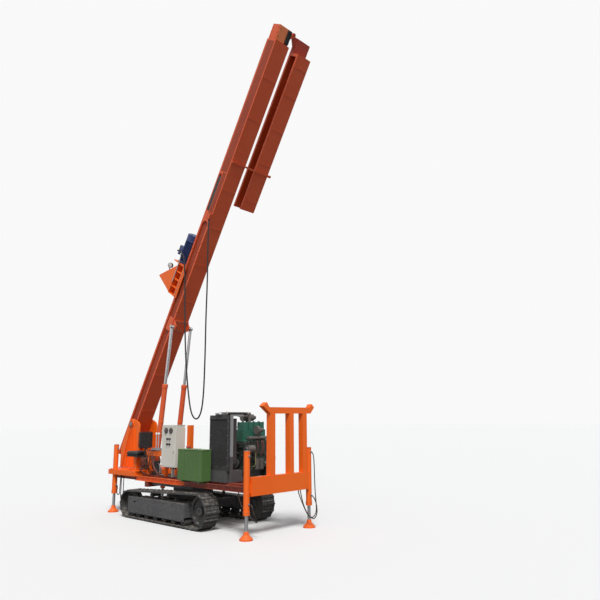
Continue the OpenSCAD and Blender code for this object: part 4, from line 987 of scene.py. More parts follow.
@dataclass
class Tracks:
    """Bolts and pins on the two tracks, which stand still with the chassis."""

    gauge: float = 1.70
    shoe_w: float = 0.32
    idler_r: float = 0.258
    sprocket_r: float = 0.308
    axle_span: float = 2.27
    sprocket_x: float = -1.29
    shoe_count: int = 46
    bar_h: float = 0.014
    ground_clear: float = 0.05
    bolt_places: tuple[float, ...] = (-0.11, -0.05, 0.05, 0.11)
    plate_ends: tuple[float, float] = (-3.48, -1.68)
    plate_heights: tuple[float, float] = (0.145, 0.395)
    plate_depth: float = 0.018
    hub_width: float = 0.2

    def shoe_place(self, shoe: int) -> tuple[float, float, float]:
        """Finds a shoe's place on the belt's outer side.

        Args:
            shoe: its number, from the rear end of the level run.

        Returns:
            Its x and z, and the angle that its outer side faces.
        """
        span, idler, sprocket = self.axle_span, self.idler_r, self.sprocket_r
        sx, sz = self.sprocket_x, self.bar_h + sprocket
        ix, iz = sx - span, self.bar_h + idler
        rise = math.atan2(sprocket - idler, span)
        front = idler * (math.pi - 2 * rise)
        total = 2 * span + front + sprocket * (math.pi + 2 * rise)
        s = shoe * total / self.shoe_count % total
        top = math.pi / 2 + 2 * rise
        if s < span:
            return sx - s, self.bar_h, -math.pi / 2
        if s < span + front:
            a = 1.5 * math.pi - (s - span) / idler
            return ix + idler * math.cos(a), iz + idler * math.sin(a), a
        if s < 2 * span + front:
            k = (s - span - front) / span
            x = (1 - k) * (ix + idler * math.cos(top)) + k * (sx + sprocket * math.cos(top))
            z = (1 - k) * (iz + idler * math.sin(top)) + k * (sz + sprocket * math.sin(top))
            return x, z, top
        a = top - (s - 2 * span - front) / sprocket
        return sx + sprocket * math.cos(a), sz + sprocket * math.sin(a), a

    def dress(self, work: Workshop) -> None:
        """Puts shoe bolts, pins, hub bolts and side plate bolts on.

        Args:
            work: the workshop.
        """
        bolts, pins, plate, hubs = [], [], [], []
        for side in SIDES:
            aim = FAR * side
            middle = side * (self.gauge / 2 - self.shoe_w / 2)
            for x, z, a in map(self.shoe_place, range(self.shoe_count)):
                if z > self.ground_clear:
                    out = Vector((math.cos(a), 0, math.sin(a)))
                    bolts += [Spot(at(x, middle + y, z) - out * 0.001, out)
                              for y in self.bolt_places]
                    pins.append(Spot(at(x, middle, z) - out * 0.0005, out, FAR))
            face = side * (self.gauge / 2 - self.plate_depth)
            for z in self.plate_heights:
                start, end = (at(x, face, z) for x in self.plate_ends)
                plate += row_spots(start, end, 7, aim)
            hub = side * (self.gauge / 2 - self.shoe_w + self.hub_width)
            for x, r in ((self.sprocket_x, self.sprocket_r),
                         (self.sprocket_x - self.axle_span, self.idler_r)):
                hubs += ring_spots(at(x, hub, self.bar_h + r), aim, 0.052, 8)
        work.bolts("shoe_bolts", bolts, 20, 8, "track_steel")
        work.repeat(Repeat.BAR, "shoe_pins", pins, (self.shoe_w * 1000 - 20, 12, 4))
        work.bolts("side_plate_bolts", plate, 32, 14, "dark_frame_paint")
        work.bolts("hub_bolts", hubs, 20, 12)


@dataclass
class Winch:
    """The winch behind the mast: its rope and the bolts of its rims."""

    x: float = -3.985
    z: float = 1.04
    length: float = 0.32
    radius: float = 0.19
    rope_d: float = 0.020
    rim_depth: float = 0.040
    nestle: float = 0.38
    turns: int = 13
    per_turn: int = 20

    def dress(self, work: Workshop) -> None:
        """Winds the rope and bolts the rims.

        Args:
            work: the workshop.
        """
        centre = at(self.x, MAST_Y, self.z)
        step = (self.length - 2 * self.rope_d) / self.turns
        r = self.radius - self.rim_depth + self.rope_d * self.nestle
        coil = []
        for k in range(self.turns * self.per_turn + 1):
            a = 2 * math.pi * k / self.per_turn
            y = self.rope_d - self.length / 2 + step * k / self.per_turn
            coil.append(centre + Vector((r * math.cos(a), y, r * math.sin(a))))
        maker = Maker()
        maker.tube(coil, self.rope_d * 500, 6)
        work.finish(maker.done("winch_rope"), "steel_rope", "winch")
        rims = [spot for side in SIDES for spot in ring_spots(
            centre + FAR * side * (self.length / 2 + 0.010), FAR * side, 0.150, 10)]
        work.bolts("winch_rim_bolts", rims, 22, 4, body="winch")


@dataclass
class Seat:
    """The operator's seat: a cushion and a back, each a padded form, on a shell."""

    corner: Point = (-3.90, -0.73, 1.20)
    width: float = 0.32
    depth: float = 0.45
    cushion_h: float = 0.10
    back_t: float = 0.07
    back_h: float = 0.34
    back_up: float = 0.16
    inset: float = 0.012
    pressure: float = 4.0
    shrink: float = 0.035
    voxel: float = 0.006
    quick_voxel: float = 0.012
    swell: float = 0.010
    frames: int = 20
    corner_r: float = 0.03

    @staticmethod
    def _apply(obj: bpy.types.Object, name: str, kind: str, **settings: object) -> None:
        """Adds a modifier to the active piece and applies it.

        Args:
            obj: the piece.
            name: the modifier's name.
            kind: its type.
            settings: its properties.
        """
        mod = obj.modifiers.new(name, kind)
        for key, value in settings.items():
            setattr(mod, key, value)
        bpy.ops.object.modifier_apply(modifier=mod.name)

    def _blown(self, obj: bpy.types.Object) -> list[Vector]:
        """Blows a pad up by cloth.

        Args:
            obj: the pad.

        Returns:
            The new places of its points.
        """
        scene = bpy.context.scene
        cloth = obj.modifiers.new("swell", "CLOTH")
        cloth.settings.use_pressure = True
        cloth.settings.uniform_pressure_force = self.pressure
        cloth.settings.effector_weights.gravity = 0.0
        cloth.point_cache.frame_start = 1
        cloth.point_cache.frame_end = self.frames
        for frame in range(1, self.frames + 1):
            scene.frame_set(frame)
        graph = bpy.context.evaluated_depsgraph_get()
        moved = [v.co.copy() for v in obj.evaluated_get(graph).data.vertices]
        obj.modifiers.remove(cloth)
        scene.frame_set(1)
        return moved

    def _pad(self, low: Vector, size: Vector, name: str) -> bpy.types.Object:
        """Makes one pad, blown up a little by cloth.

        Args:
            low: its lowest corner.
            size: its size.
            name: its name.

        Returns:
            The pad.
        """
        inset = Vector((self.inset, self.inset, self.inset))
        maker = Maker()
        maker.box(low + inset, low + size - inset)
        obj = maker.done(name)
        bpy.context.view_layer.objects.active = obj
        for other in bpy.context.selected_objects:
            other.select_set(False)
        obj.select_set(True)
        self._apply(obj, "rounded", "BEVEL", width=0.018, segments=3)
        self._apply(obj, "even", "REMESH", mode="VOXEL",
                    voxel_size=self.voxel)
        rest = [v.co.copy() for v in obj.data.vertices]
        moved = self._blown(obj)
        for v, a, b in zip(obj.data.vertices, rest, moved):
            step = b - a
            if step.length > self.swell:
                step *= self.swell / step.length
            v.co = a + step
        self._apply(obj, "soft", "SUBSURF", levels=1, render_levels=1)
        for face in obj.data.polygons:
            face.use_smooth = True
        return obj

    def _piping(self, low: Vector, a: Vector, b: Vector, lift: float) -> list[Vector]:
        """Leads the piping round a pad, with rounded corners.

        Args:
            low: the pad's lowest corner.
            a: its first edge.
            b: its second edge.
            lift: how high over the corner the piping lies.

        Returns:
            The piping's route.
        """
        up = a.cross(b).normalized() * lift
        corners = [low + up, low + a + up, low + a + b + up, low + b + up]
        middle = (corners[0] + corners[2]) / 2
        corners = [p.lerp(middle, self.shrink) for p in corners]
        loop = []
        for i, p in enumerate(corners):
            start = p + (corners[i - 1] - p).normalized() * self.corner_r
            end = p + (corners[(i + 1) % 4] - p).normalized() * self.corner_r
            loop += [start.lerp(p, t).lerp(p.lerp(end, t), t) for t in (0, 0.25, 0.5, 0.75, 1)]
        return loop + [loop[0]]

    def dress(self, work: Workshop) -> None:
        """Makes both pads, their piping and the seat's shell.

        Args:
            work: the workshop.
        """
        o = at(*self.corner)
        back = o + Vector((self.depth, 0, self.back_up))
        for pad in (self._pad(o, Vector((self.depth, self.width, self.cushion_h)), "seat_pad"),
                    self._pad(back, Vector((self.back_t, self.width, self.back_h)), "back_pad")):
            work.finish(pad, "seat_vinyl")
            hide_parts("seat_cushion")
        maker = Maker()
        maker.tube(self._piping(o, REAR * self.depth, FAR * self.width, 0.052), 5, 8)
        maker.tube(self._piping(back, FAR * self.width, UP * self.back_h, 0.035), 5, 8)
        work.finish(maker.done("seat_piping"), "black_rubber")
        maker = Maker()
        x = self.depth + self.back_t
        for low, high in (((x - 0.004, 0.012, 0.17), (x + 0.012, self.width - 0.012, 0.485)),
                          ((x - 0.001, 0.125, -0.014), (x + 0.0125, 0.195, 0.18)),
                          ((self.depth - 0.002, 0.125, -0.015), (x + 0.0125, 0.195, 0.004)),
                          ((0.015, 0.015, -0.015),
                           (self.depth + 0.004, self.width - 0.015, 0.010))):
            maker.box(o + Vector(low), o + Vector(high))
        work.finish(maker.done("seat_shell", 3), "black_rubber")


@dataclass
class PowerHead:
    """The motor's fins, cowl and box, and the bolts and lamp of the carriage."""

    motor_n: float = -0.495
    motor_u: float = 3.77
    body_r: float = 0.15
    fins_up: float = 0.285
    cowl_up: float = 0.66
    band_up: float = 0.505
    box_n: float = 0.305
    rail: tuple[float, float] = (-0.185, 0.205)
    rail_ends: tuple[float, float] = (3.09, 3.71)
    lamp_foot: Point = (-0.80, -0.150, 3.47)

    def dress(self, work: Workshop) -> None:
        """Makes the pieces that ride on the power head.

        Args:
            work: the workshop.
        """
        body = "power_head"
        n, u = self.motor_n, self.motor_u
        axis = on_mast(n, 0, u)
        fins = [Spot(s.place, s.along, MAST_UP)
                for s in ring_spots(axis + MAST_UP * self.fins_up, MAST_UP, self.body_r - 0.002,
                                     40)]
        work.repeat(Repeat.BAR, "motor_fins", fins, (470, 5, 17), "motor_blue", body)
        maker = Maker()
        top = axis + MAST_UP * self.cowl_up
        maker.turned(top, MAST_UP, [(150, -2), (140, 8), (95, 12), (30, 12), (28, 18)], 32)
        maker.turned(axis + MAST_UP * self.band_up, MAST_UP,
                     [(158, 0), (168, 8), (168, 25), (158, 33)], 32)
        maker.slab(on_mast(n - self.box_n, -0.088, u + 0.112), -MAST_FRONT * 0.012, FAR * 0.176,
                   MAST_UP * 0.216)
        work.finish(maker.done("motor_cowl", 3), "motor_blue", body)
        slots = [s for r, count in ((0.050, 10), (0.078, 16), (0.106, 22))
                 for s in ring_spots(top + MAST_UP * 0.0115, MAST_UP, r, count)]
        work.repeat(Repeat.BAR, "cowl_slots", slots, (18, 6, 2), "black_paint", body)
        screws = [Spot(on_mast(n - self.box_n, y, u + z), MAST_FRONT)
                  for y in (-0.075, 0.075) for z in (0.125, 0.315)]
        work.bolts("box_screws", screws, 14, 6, body=body)
        bolts = ring_spots(axis + MAST_UP * 0.03, MAST_UP, 0.160, 8)
        for side in SIDES:
            start, end = (on_mast(self.rail[0], side * self.rail[1], u) for u in self.rail_ends)
            bolts += row_spots(start, end, 9, FAR * side)
        work.bolts("carriage_bolts", bolts, 24, 12, body=body)
        maker = Maker()
        base = on_mast(*self.lamp_foot)
        maker.bar(base, base + MAST_UP * 0.09, 10)
        lamp = base + MAST_UP * 0.12
        aim = (NEAR + REAR * 0.3 - UP * 0.4).normalized()
        maker.turned(lamp, aim, [(30, -50), (55, -20), (62, 18), (62, 30)])
        work.finish(maker.done("work_lamp", 2), "black_paint", body)
        maker = Maker()
        maker.turned(lamp, aim, [(55, 28), (50, 34), (20, 38)])
        work.finish(maker.done("work_lamp_glass"), "gauge_face", body)
        maker = Maker()
        pipe = [on_mast(*p) for p in (
            (-0.55, -0.172, 4.0), (-0.50, -0.20, 3.96), (-0.46, -0.212, 3.88),
            (-0.44, -0.214, 3.80), (-0.44, -0.214, 3.60), (-0.44, -0.214, 3.30))]
        maker.tube(smooth_route(pipe), 11, 10)
        work.finish(maker.done("grease_pipe"), "galvanised", body)


@dataclass
class MastTrim:
    """Welds, bolts, painted shade on the webs and the feed chain of the mast and of its folded
    section.
    """

    foot: float = -0.88
    top: float = 8.77
    links: int = 136
    plate_y: float = 0.026
    rear: float = 0.080
    seams: tuple[float, float] = (-0.209, 0.079)
    half_w: float = MAST_W / 2
    folded_y: float = 0.56 - MAST_Y - MAST_W / 2

    def _welds(self, work: Workshop, name: str, body: str, near: float,
               ends: tuple[float, float], bands: Sequence[float]) -> None:
        """Makes the seam welds of a section and the bands over its rear face.

        Args:
            work: the workshop.
            name: the piece's name.
            body: the body that it rides on.
            near: the place of the section's near side.
            ends: the ends of its seams.
            bands: the places of its bands.
        """
        maker = Maker()
        for y in (near + 0.001, near + MAST_W - 0.001):
            for n in self.seams:
                maker.bar(on_mast(n, y, ends[0]), on_mast(n, y, ends[1]), 4, 6)
        for u in bands:
            maker.slab(on_mast(self.rear, near + 0.004, u), -MAST_FRONT * 0.006,
                       FAR * (MAST_W - 0.008), MAST_UP * 0.055)
        work.finish(maker.done(name, 1.5), "mast_paint", body)

    def _chain(self, work: Workshop) -> None:
        """Makes the feed chain in the slot of the mast's front.

        Args:
            work: the workshop.
        """
        plates, pins = [], []
        for k in range(self.links):
            u = self.foot + 0.10 + (self.top - self.foot - 0.20) * k / (self.links - 1)
            plates += [Spot(on_mast(-0.186, side * self.plate_y, u), MAST_FRONT, MAST_UP)
                       for side in SIDES]
            pins.append(Spot(on_mast(-0.196, -self.plate_y, u + 0.034), FAR, MAST_UP))
        work.repeat(Repeat.BAR, "chain_plates", plates, (76, 4, 18), "track_steel", "mast")
        work.repeat(Repeat.ROUND, "chain_rollers", pins, (15, 15, 52), body="mast")

    def dress(self, work: Workshop) -> None:
        """Makes the pieces on the mast and on its folded section.

        Args:
            work: the workshop.
        """
        w, top = self.half_w, self.top
        self._chain(work)
        self._welds(work, "mast_welds", "mast", -w, (self.foot + 0.02, top - 0.002),
                    (0.35, 1.25, 3.05, 3.9, 4.75, 5.6, 7.15, 8.0))
        bolts = []
        for u in (5.98, 6.46):
            bolts += row_spots(on_mast(self.rear, -0.15, u), on_mast(self.rear, 0.15, u), 5,
                               -MAST_FRONT)
        for n, side, low, high, count in (
                (-0.150, -1, top + 0.05, top + 0.25, 3), (0.020, -1, top + 0.05, top + 0.25, 3),
                (-0.06, -1, 5.95, 8.5, 16), (0.055, -1, -0.6, 4.4, 26),
                (-0.19, -1, 0.4, 4.4, 22), (0.055, 1, -0.6, 8.5, 40)):
            bolts += row_spots(on_mast(n, side * w, low), on_mast(n, side * w, high), count,
                               FAR * side)
        work.bolts("mast_bolts", bolts, 22, 9, "mast_paint", "mast")
        self._head_plate(work)
        self._webs(work)
        lift = [Spot(on_mast(0.110, y, 2.49 + z), -MAST_FRONT)
                for y in (-0.15, -0.05, 0.05, 0.15) for z in (-0.10, 0.10)]
        work.bolts("lift_bracket_bolts", lift, 30, 16, body="mast")
        self._welds(work, "folded_section_welds", "upper_mast", self.folded_y,
                    (top - 3.40, top - 0.01), (5.55, 6.4, 7.15, 7.9, 8.5))
        flange = [s for y in (self.folded_y + 0.03, self.folded_y + MAST_W - 0.03)
                  for s in row_spots(on_mast(self.rear, y, 5.48), on_mast(self.rear, y, 8.68),
                                     18, -MAST_FRONT)]
        work.bolts("folded_section_bolts", flange, 20, 8, "mast_paint", "upper_mast")

    def _webs(self, work: Workshop) -> None:
        """Lays dark sheets of painted shade on the webs between the flanges on both sides of the
        mast.

        Args:
            work: the workshop.
        """
        recess, skin, sunk = 0.032, 0.0015, 0.001
        # Each sheet is painted shade: a dark copy of the orange over the web, where the recess is
        # in shade.
        maker = Maker()
        for side in SIDES:
            out = FAR * side
            for n0, n1, u0, u1, depth in ((-0.163, 0.033, -0.86, 4.77, recess),
                                          (-0.075, 0.048, 4.92, 5.95, 0.0),
                                          (-0.168, 0.048, 5.97, 8.74, 0.0)):
                maker.slab(on_mast(n0, side * (self.half_w - depth - sunk), u0),
                           -MAST_FRONT * (n1 - n0), MAST_UP * (u1 - u0), out * (skin + sunk))
            maker.turned(on_mast(-0.065, side * (self.half_w - recess - skin), 4.77), out,
                         [(98, 0), (98, 2.5)], 32)
        work.finish(maker.done("mast_web_shade_sheets"), "mast_web_painted_shade", "mast")

    def _head_plate(self, work: Workshop) -> None:
        """Makes the bright plate, painted light, and a black block, painted shade, on the rear of
        the mast's head.

        Args:
            work: the workshop.
        """
        rear, near = 0.050, -self.half_w
        # The plate is painted light: a brighter orange standing in for the lit rear face of the
        # head.
        maker = Maker()
        maker.slab(on_mast(rear, near + 0.006, self.top + 0.010), -MAST_FRONT * 0.008,
                   FAR * 0.220, MAST_UP * 0.284)
        work.finish(maker.done("head_plate", 3), "head_painted_light", "mast")
        # A black block as painted shade, where the head's darker part lies in shade.
        maker = Maker()
        maker.slab(on_mast(rear, 0.046, self.top + 0.020), -MAST_FRONT * 0.030, FAR * 0.096,
                   MAST_UP * 0.270)
        work.finish(maker.done("head_shade_block", 8), "black_rubber", "mast")
        bolts = [Spot(on_mast(rear + 0.008, near + 0.035, self.top + u), -MAST_FRONT)
                 for u in (0.08, 0.23)]
        work.bolts("head_plate_bolts", bolts, 26, 12, "red_paint", "mast")


@dataclass
class Lift:
    """Pipes, glands and pins of the two lift cylinders."""

    base: tuple[float, float] = (-3.38, 0.70)
    along: Point = (0.136451407, 0.0, 0.990646765)
    apart: float = 0.245
    length: float = 1.99
    eye: float = 3.2320
    bands: tuple[float, float] = (0.6, 1.2)
    gland_bolt_r: float = 0.047

    def dress(self, work: Workshop) -> None:
        """Makes the pieces of both cylinders.

        Args:
            work: the workshop.
        """
        axis = Vector(self.along)
        out = axis.cross(FAR).normalized()
        pipes, caps, pins = Maker(), Maker(), Maker()
        bolts = []
        for side in SIDES:
            foot = at(self.base[0], MAST_Y + side * self.apart, self.base[1])
            lead = [foot + axis * u + out * n for u, n in (
                (0.16, 0.050), (0.17, 0.075), (0.30, 0.078), (1.70, 0.078), (1.86, 0.075),
                (1.88, 0.050))]
            pipes.tube(smooth_route(lead), 9, 8)
            for z in self.bands:
                caps.turned(foot + axis * z, axis, [(53, 0), (56.5, 0), (59, 3), (59, 27),
                                                    (56.5, 30), (53, 30)], bored=True)
            caps.turned(foot + axis * (self.length - 0.001), axis,
                        [(34.5, 0), (61, 0), (58, 12), (34.5, 14)], bored=True)
            bolts += ring_spots(foot + axis * (self.length + 0.008), axis,
                                self.gland_bolt_r, 8)
            eye = foot + axis * self.eye
            pins.bar(eye - FAR * 0.036, eye + FAR * 0.036, 19.5, 16)
            pins.bar(eye + FAR * side * 0.036, eye + FAR * side * 0.044, 30, 16)
        work.finish(pipes.done("lift_pipes"), "rubbed_steel", "barrels")
        work.finish(caps.done("lift_glands", 1.5), "orange_paint", "barrels")
        work.bolts("gland_bolts", bolts, 12, 8, body="barrels")
        work.finish(pins.done("lift_eye_pins", 2), "galvanised", "rods")


@dataclass
class Deck:
    """Treads, pin plates, levers and fittings on the frame and the front platform."""

    deck_z: float = 0.89
    x0: float = -4.62
    x1: float = -3.54
    half_w: float = 0.70
    pitch: float = 0.052
    edge: float = 0.045
    margin: float = 0.06
    pin: tuple[float, float] = (-4.36, 1.85)

    def _tread_is_clear(self, x: float, y: float) -> bool:
        """Tells whether a tread here misses the mast's foot, its stand and the legs."""
        off = abs(y - MAST_Y)
        return not (-4.22 < x < -3.75 and off < 0.22 or -4.79 < x < -4.06 and 0.19 < off < 0.29
                    or abs(x + 4.47) < 0.10 and abs(abs(y) - 0.62) < 0.10)

    def dress(self, work: Workshop) -> None:
        """Makes the pieces on the frame.

        Args:
            work: the workshop.
        """
        treads = []
        for i in range(int((self.x1 - self.x0 - self.margin) / self.pitch)):
            for j in range(int((2 * self.half_w - self.margin) / self.pitch)):
                x = self.x0 + self.edge + i * self.pitch
                y = -self.half_w + self.edge + j * self.pitch
                if self._tread_is_clear(x, y):
                    slant = Vector((1, 1 if (i + j) % 2 else -1, 0))
                    treads.append(Spot(at(x, y, self.deck_z - 0.0005), UP, slant))
        work.repeat(Repeat.BAR, "platform_treads", treads, (30, 7, 2.5), "orange_paint")
        caps, bolts, foot = Maker(), [], []
        for side in SIDES:
            aim = FAR * side
            pin = at(self.pin[0], MAST_Y, self.pin[1])
            caps.turned(pin + aim * 0.27, aim, [(50, -3), (50, 8), (45, 11)])
            bolts += ring_spots(pin + aim * 0.260, aim, 0.068, 6)
            bolts += [Spot(at(x, side * self.half_w, 0.84), aim)
                      for x in (-4.05, -3.9, -3.75, -3.6)]
            rail = side * (self.half_w - 0.008)
            bolts += row_spots(at(-3.35, rail, 0.765), at(-0.25, rail, 0.765), 16, aim)
            y = MAST_Y + side * 0.285
            foot += row_spots(at(-4.60, y, 0.908), at(-4.12, y, 0.908), 6, UP)
        work.finish(caps.done("tilt_pin_caps", 1), "rubbed_steel", "mast")
        work.bolts("frame_bolts", bolts, 26, 12, "frame_orange_and_inner_shade")
        work.bolts("stand_bolts", foot, 30, 16)
        beam = [Spot(at(0.060, y, z), REAR)
                for y in (-0.63, -0.47, 0.05, 0.47, 0.63) for z in (0.74, 0.92)]
        work.repeat(Repeat.ROUND, "beam_plugs", beam, (28, 28, 3), "orange_paint")
        self._levers(work)
        self._pipes(work)

    @staticmethod
    def _levers(work: Workshop) -> None:
        """Makes the valve bank, the levers' sleeves and their knobs.

        Args:
            work: the workshop.
        """
        maker = Maker()
        low = at(-3.155, -0.575, 1.324)
        maker.block(low, 0.30, 0.085, 0.048)
        for k in range(4):
            maker.turned(low + Vector((0.045 + 0.07 * k, -0.001, 0.011)), NEAR,
                         [(18, 0), (18, 20), (13, 24), (13, 50)], 12)
        work.finish(maker.done("valve_bank", 3), "grey_paint")
        sleeves, knobs = Maker(), Maker()
        for k in (0.42, 0.53):
            foot = at(-3.37 + 0.77 * k, -0.54, 1.36)
            sleeves.bar(foot, foot + UP * 0.285, 10.2, 12)
            knobs.turned(foot + UP * 0.295, UP,
                         [(10, -28), (21, -16), (24.5, 0), (21, 16), (10, 26)], 16)
        work.finish(sleeves.done("lever_sleeves"), "galvanised")
        work.finish(knobs.done("lever_knobs"), "gauge_face")

    @staticmethod
    def _pipes(work: Workshop) -> None:
        """Makes the rigid pipes along the rails and the block that they start from.

        Args:
            work: the workshop.
        """
        maker = Maker()
        for y, lift in ((-475, 0), (-455, -40), (-435, -80)):
            maker.pipe([(-3080, y, 1070 + lift), (-3020, y, 1060 + lift), (-2990, y, 980),
                        (-2980, y, 872), (-2940, y, 842), (-2200, y, 842), (-1310, y, 842)], 7)
        for x in (-2.85, -2.4, -1.95, -1.5):
            maker.block(at(x, -0.492, 0.829), 0.03, 0.070, 0.012)
        work.finish(maker.done("rail_pipes"), "rubbed_steel")
        maker = Maker()
        low = at(-3.20, -0.485, 0.829)
        maker.block(low, 0.14, 0.065, 0.28)
        for z in (0.09, 0.15, 0.21):
            maker.turned(low + Vector((0.07, 0.0, z)), NEAR,
                         [(18, -1), (18, 14), (12, 18), (12, 30)], 12)
        work.finish(maker.done("pipe_block", 4), "black_paint")


@dataclass
class Cabinet:
    """Dials, buttons and seams of the control cabinet."""

    x0: float = -2.55
    y0: float = -0.72
    z0: float = 1.04
    width: float = 0.48
    height: float = 0.79
    door_t: float = 0.0203

    def face(self, x: float, z: float, out: float = 0.0) -> Vector:
        """Gives a place on the door's face, at a distance before it."""
        return at(self.x0 + x, self.y0 - self.door_t - out, self.z0 + z)

    @staticmethod
    def _hand(degrees: float) -> Vector:
        """Gives the way that a dial's needle or tick points."""
        return Vector((math.cos(math.radians(degrees)), 0, math.sin(math.radians(degrees))))

    def dress(self, work: Workshop) -> None:
        """Makes the pieces of the door and of the box.

        Args:
            work: the workshop.
        """
        rims, dials, needles = Maker(), Maker(), Maker()
        ticks = []
        for x, needle in ((0.150, 130), (0.310, 80)):
            c = self.face(x, 0.690)
            rims.turned(c, NEAR, [(53, 0), (53, 16), (50, 20), (44, 20), (43, 16.5)], 32)
            dials.turned(c, NEAR, [(43, 14.5), (43, 16.8)], 32)
            arm = self._hand(needle)
            side = arm.cross(NEAR) * 0.004
            needles.slab(c + NEAR * 0.0168 - arm * 0.008 - side * 0.5, arm * 0.042, side,
                         NEAR * 0.0015)
            for tick in range(9):
                arm = self._hand(-40 + 32.5 * tick)
                ticks.append(Spot(c + NEAR * 0.0166 + arm * 0.035, NEAR, arm))
        work.finish(rims.done("dial_rims", 1), "black_paint", "door")
        work.finish(dials.done("dial_faces"), "dial_face", "door")
        work.finish(needles.done("dial_needles"), "red_button", "door")
        work.repeat(Repeat.BAR, "dial_ticks", ticks, (8, 2.2, 0.8), "gauge_face", "door")
        for k in range(4):
            maker = Maker()
            maker.turned(self.face(0.280 if k % 2 else 0.200, 0.530 if k < 2 else 0.430), NEAR,
                         [(21, 0), (21, 8), (18.5, 12), (18.5, 26), (16, 30), (4, 30.5)], 20)
            work.finish(maker.done(f"door_button_{k}"), "black_paint" if k < 2 else "black_rubber",
                        "door")
        maker = Maker()
        for x0, z0, x1, z1 in ((0.02, 0.02, 0.46, 0.034), (0.02, 0.756, 0.46, 0.770),
                               (0.02, 0.02, 0.034, 0.770), (0.446, 0.02, 0.46, 0.770)):
            maker.box(self.face(x0, z0, 0.003), self.face(x1, z1, -0.001))
        maker.box(self.face(0.418, 0.298, 0.027), self.face(0.438, 0.412, 0.0235))
        work.finish(maker.done("door_rim", 1.5), "cream_paint", "door")
        maker = Maker()
        maker.block(at(self.x0 - 0.006, self.y0, self.z0 + self.height), self.width + 0.012,
                    0.204, 0.006)
        work.finish(maker.done("cabinet_roof", 2), "cream_paint")
        maker = Maker()
        for x in (0.10, 0.18, 0.26, 0.34):
            maker.turned(at(self.x0 + x, self.y0 + 0.09, self.z0 + 0.001), -UP,
                         [(20, 0), (20, 20), (14, 30), (14, 45)], 12)
        work.finish(maker.done("cabinet_glands"), "black_rubber")


@dataclass
class Tank:
    """Cap, straps and lid screws of the green tank."""

    x0: float = -1.87
    y0: float = -0.82
    z0: float = 0.845
    length: float = 0.72
    depth: float = 0.20
    height: float = 0.555

    def dress(self, work: Workshop) -> None:
        """Makes the pieces of the tank.

        Args:
            work: the workshop.
        """
        top = self.z0 + self.height
        cap = at(self.x0 + self.length / 4, self.y0 + self.depth / 2, top + 0.019)
        maker = Maker()
        maker.turned(cap, UP, [(43, 0), (44, 12), (44, 26), (36, 34), (12, 36)])
        work.finish(maker.done("tank_cap", 1), "red_cap")
        grips = [Spot(s.place, s.along, UP) for s in ring_spots(cap + UP * 0.016, UP, 0.0435, 16)]
        work.repeat(Repeat.BAR, "cap_grips", grips, (20, 6, 4), "red_cap")
        maker = Maker()
        for x in (0.16, 0.54):
            maker.block(at(self.x0 + x, self.y0 - 0.0035, self.z0 - 0.002), 0.035, 0.0045,
                        self.height - 0.016)
        for x in (0.0, self.length):
            for y in (0.0, self.depth):
                a = at(self.x0 + x, self.y0 + y, self.z0 + 0.004)
                maker.bar(a, a + UP * (self.height - 0.024), 5, 8)
        maker.block(at(self.x0 + 0.30, self.y0 + 0.04, top - 0.001), 0.20, 0.12, 0.007)
        work.finish(maker.done("tank_straps", 1), "green_paint")
        screws = [Spot(at(self.x0 + x, self.y0 + y, top + 0.006), UP)
                  for x in (0.32, 0.40, 0.48) for y in (0.06, 0.14)]
        work.bolts("tank_lid_screws", screws, 14, 6)


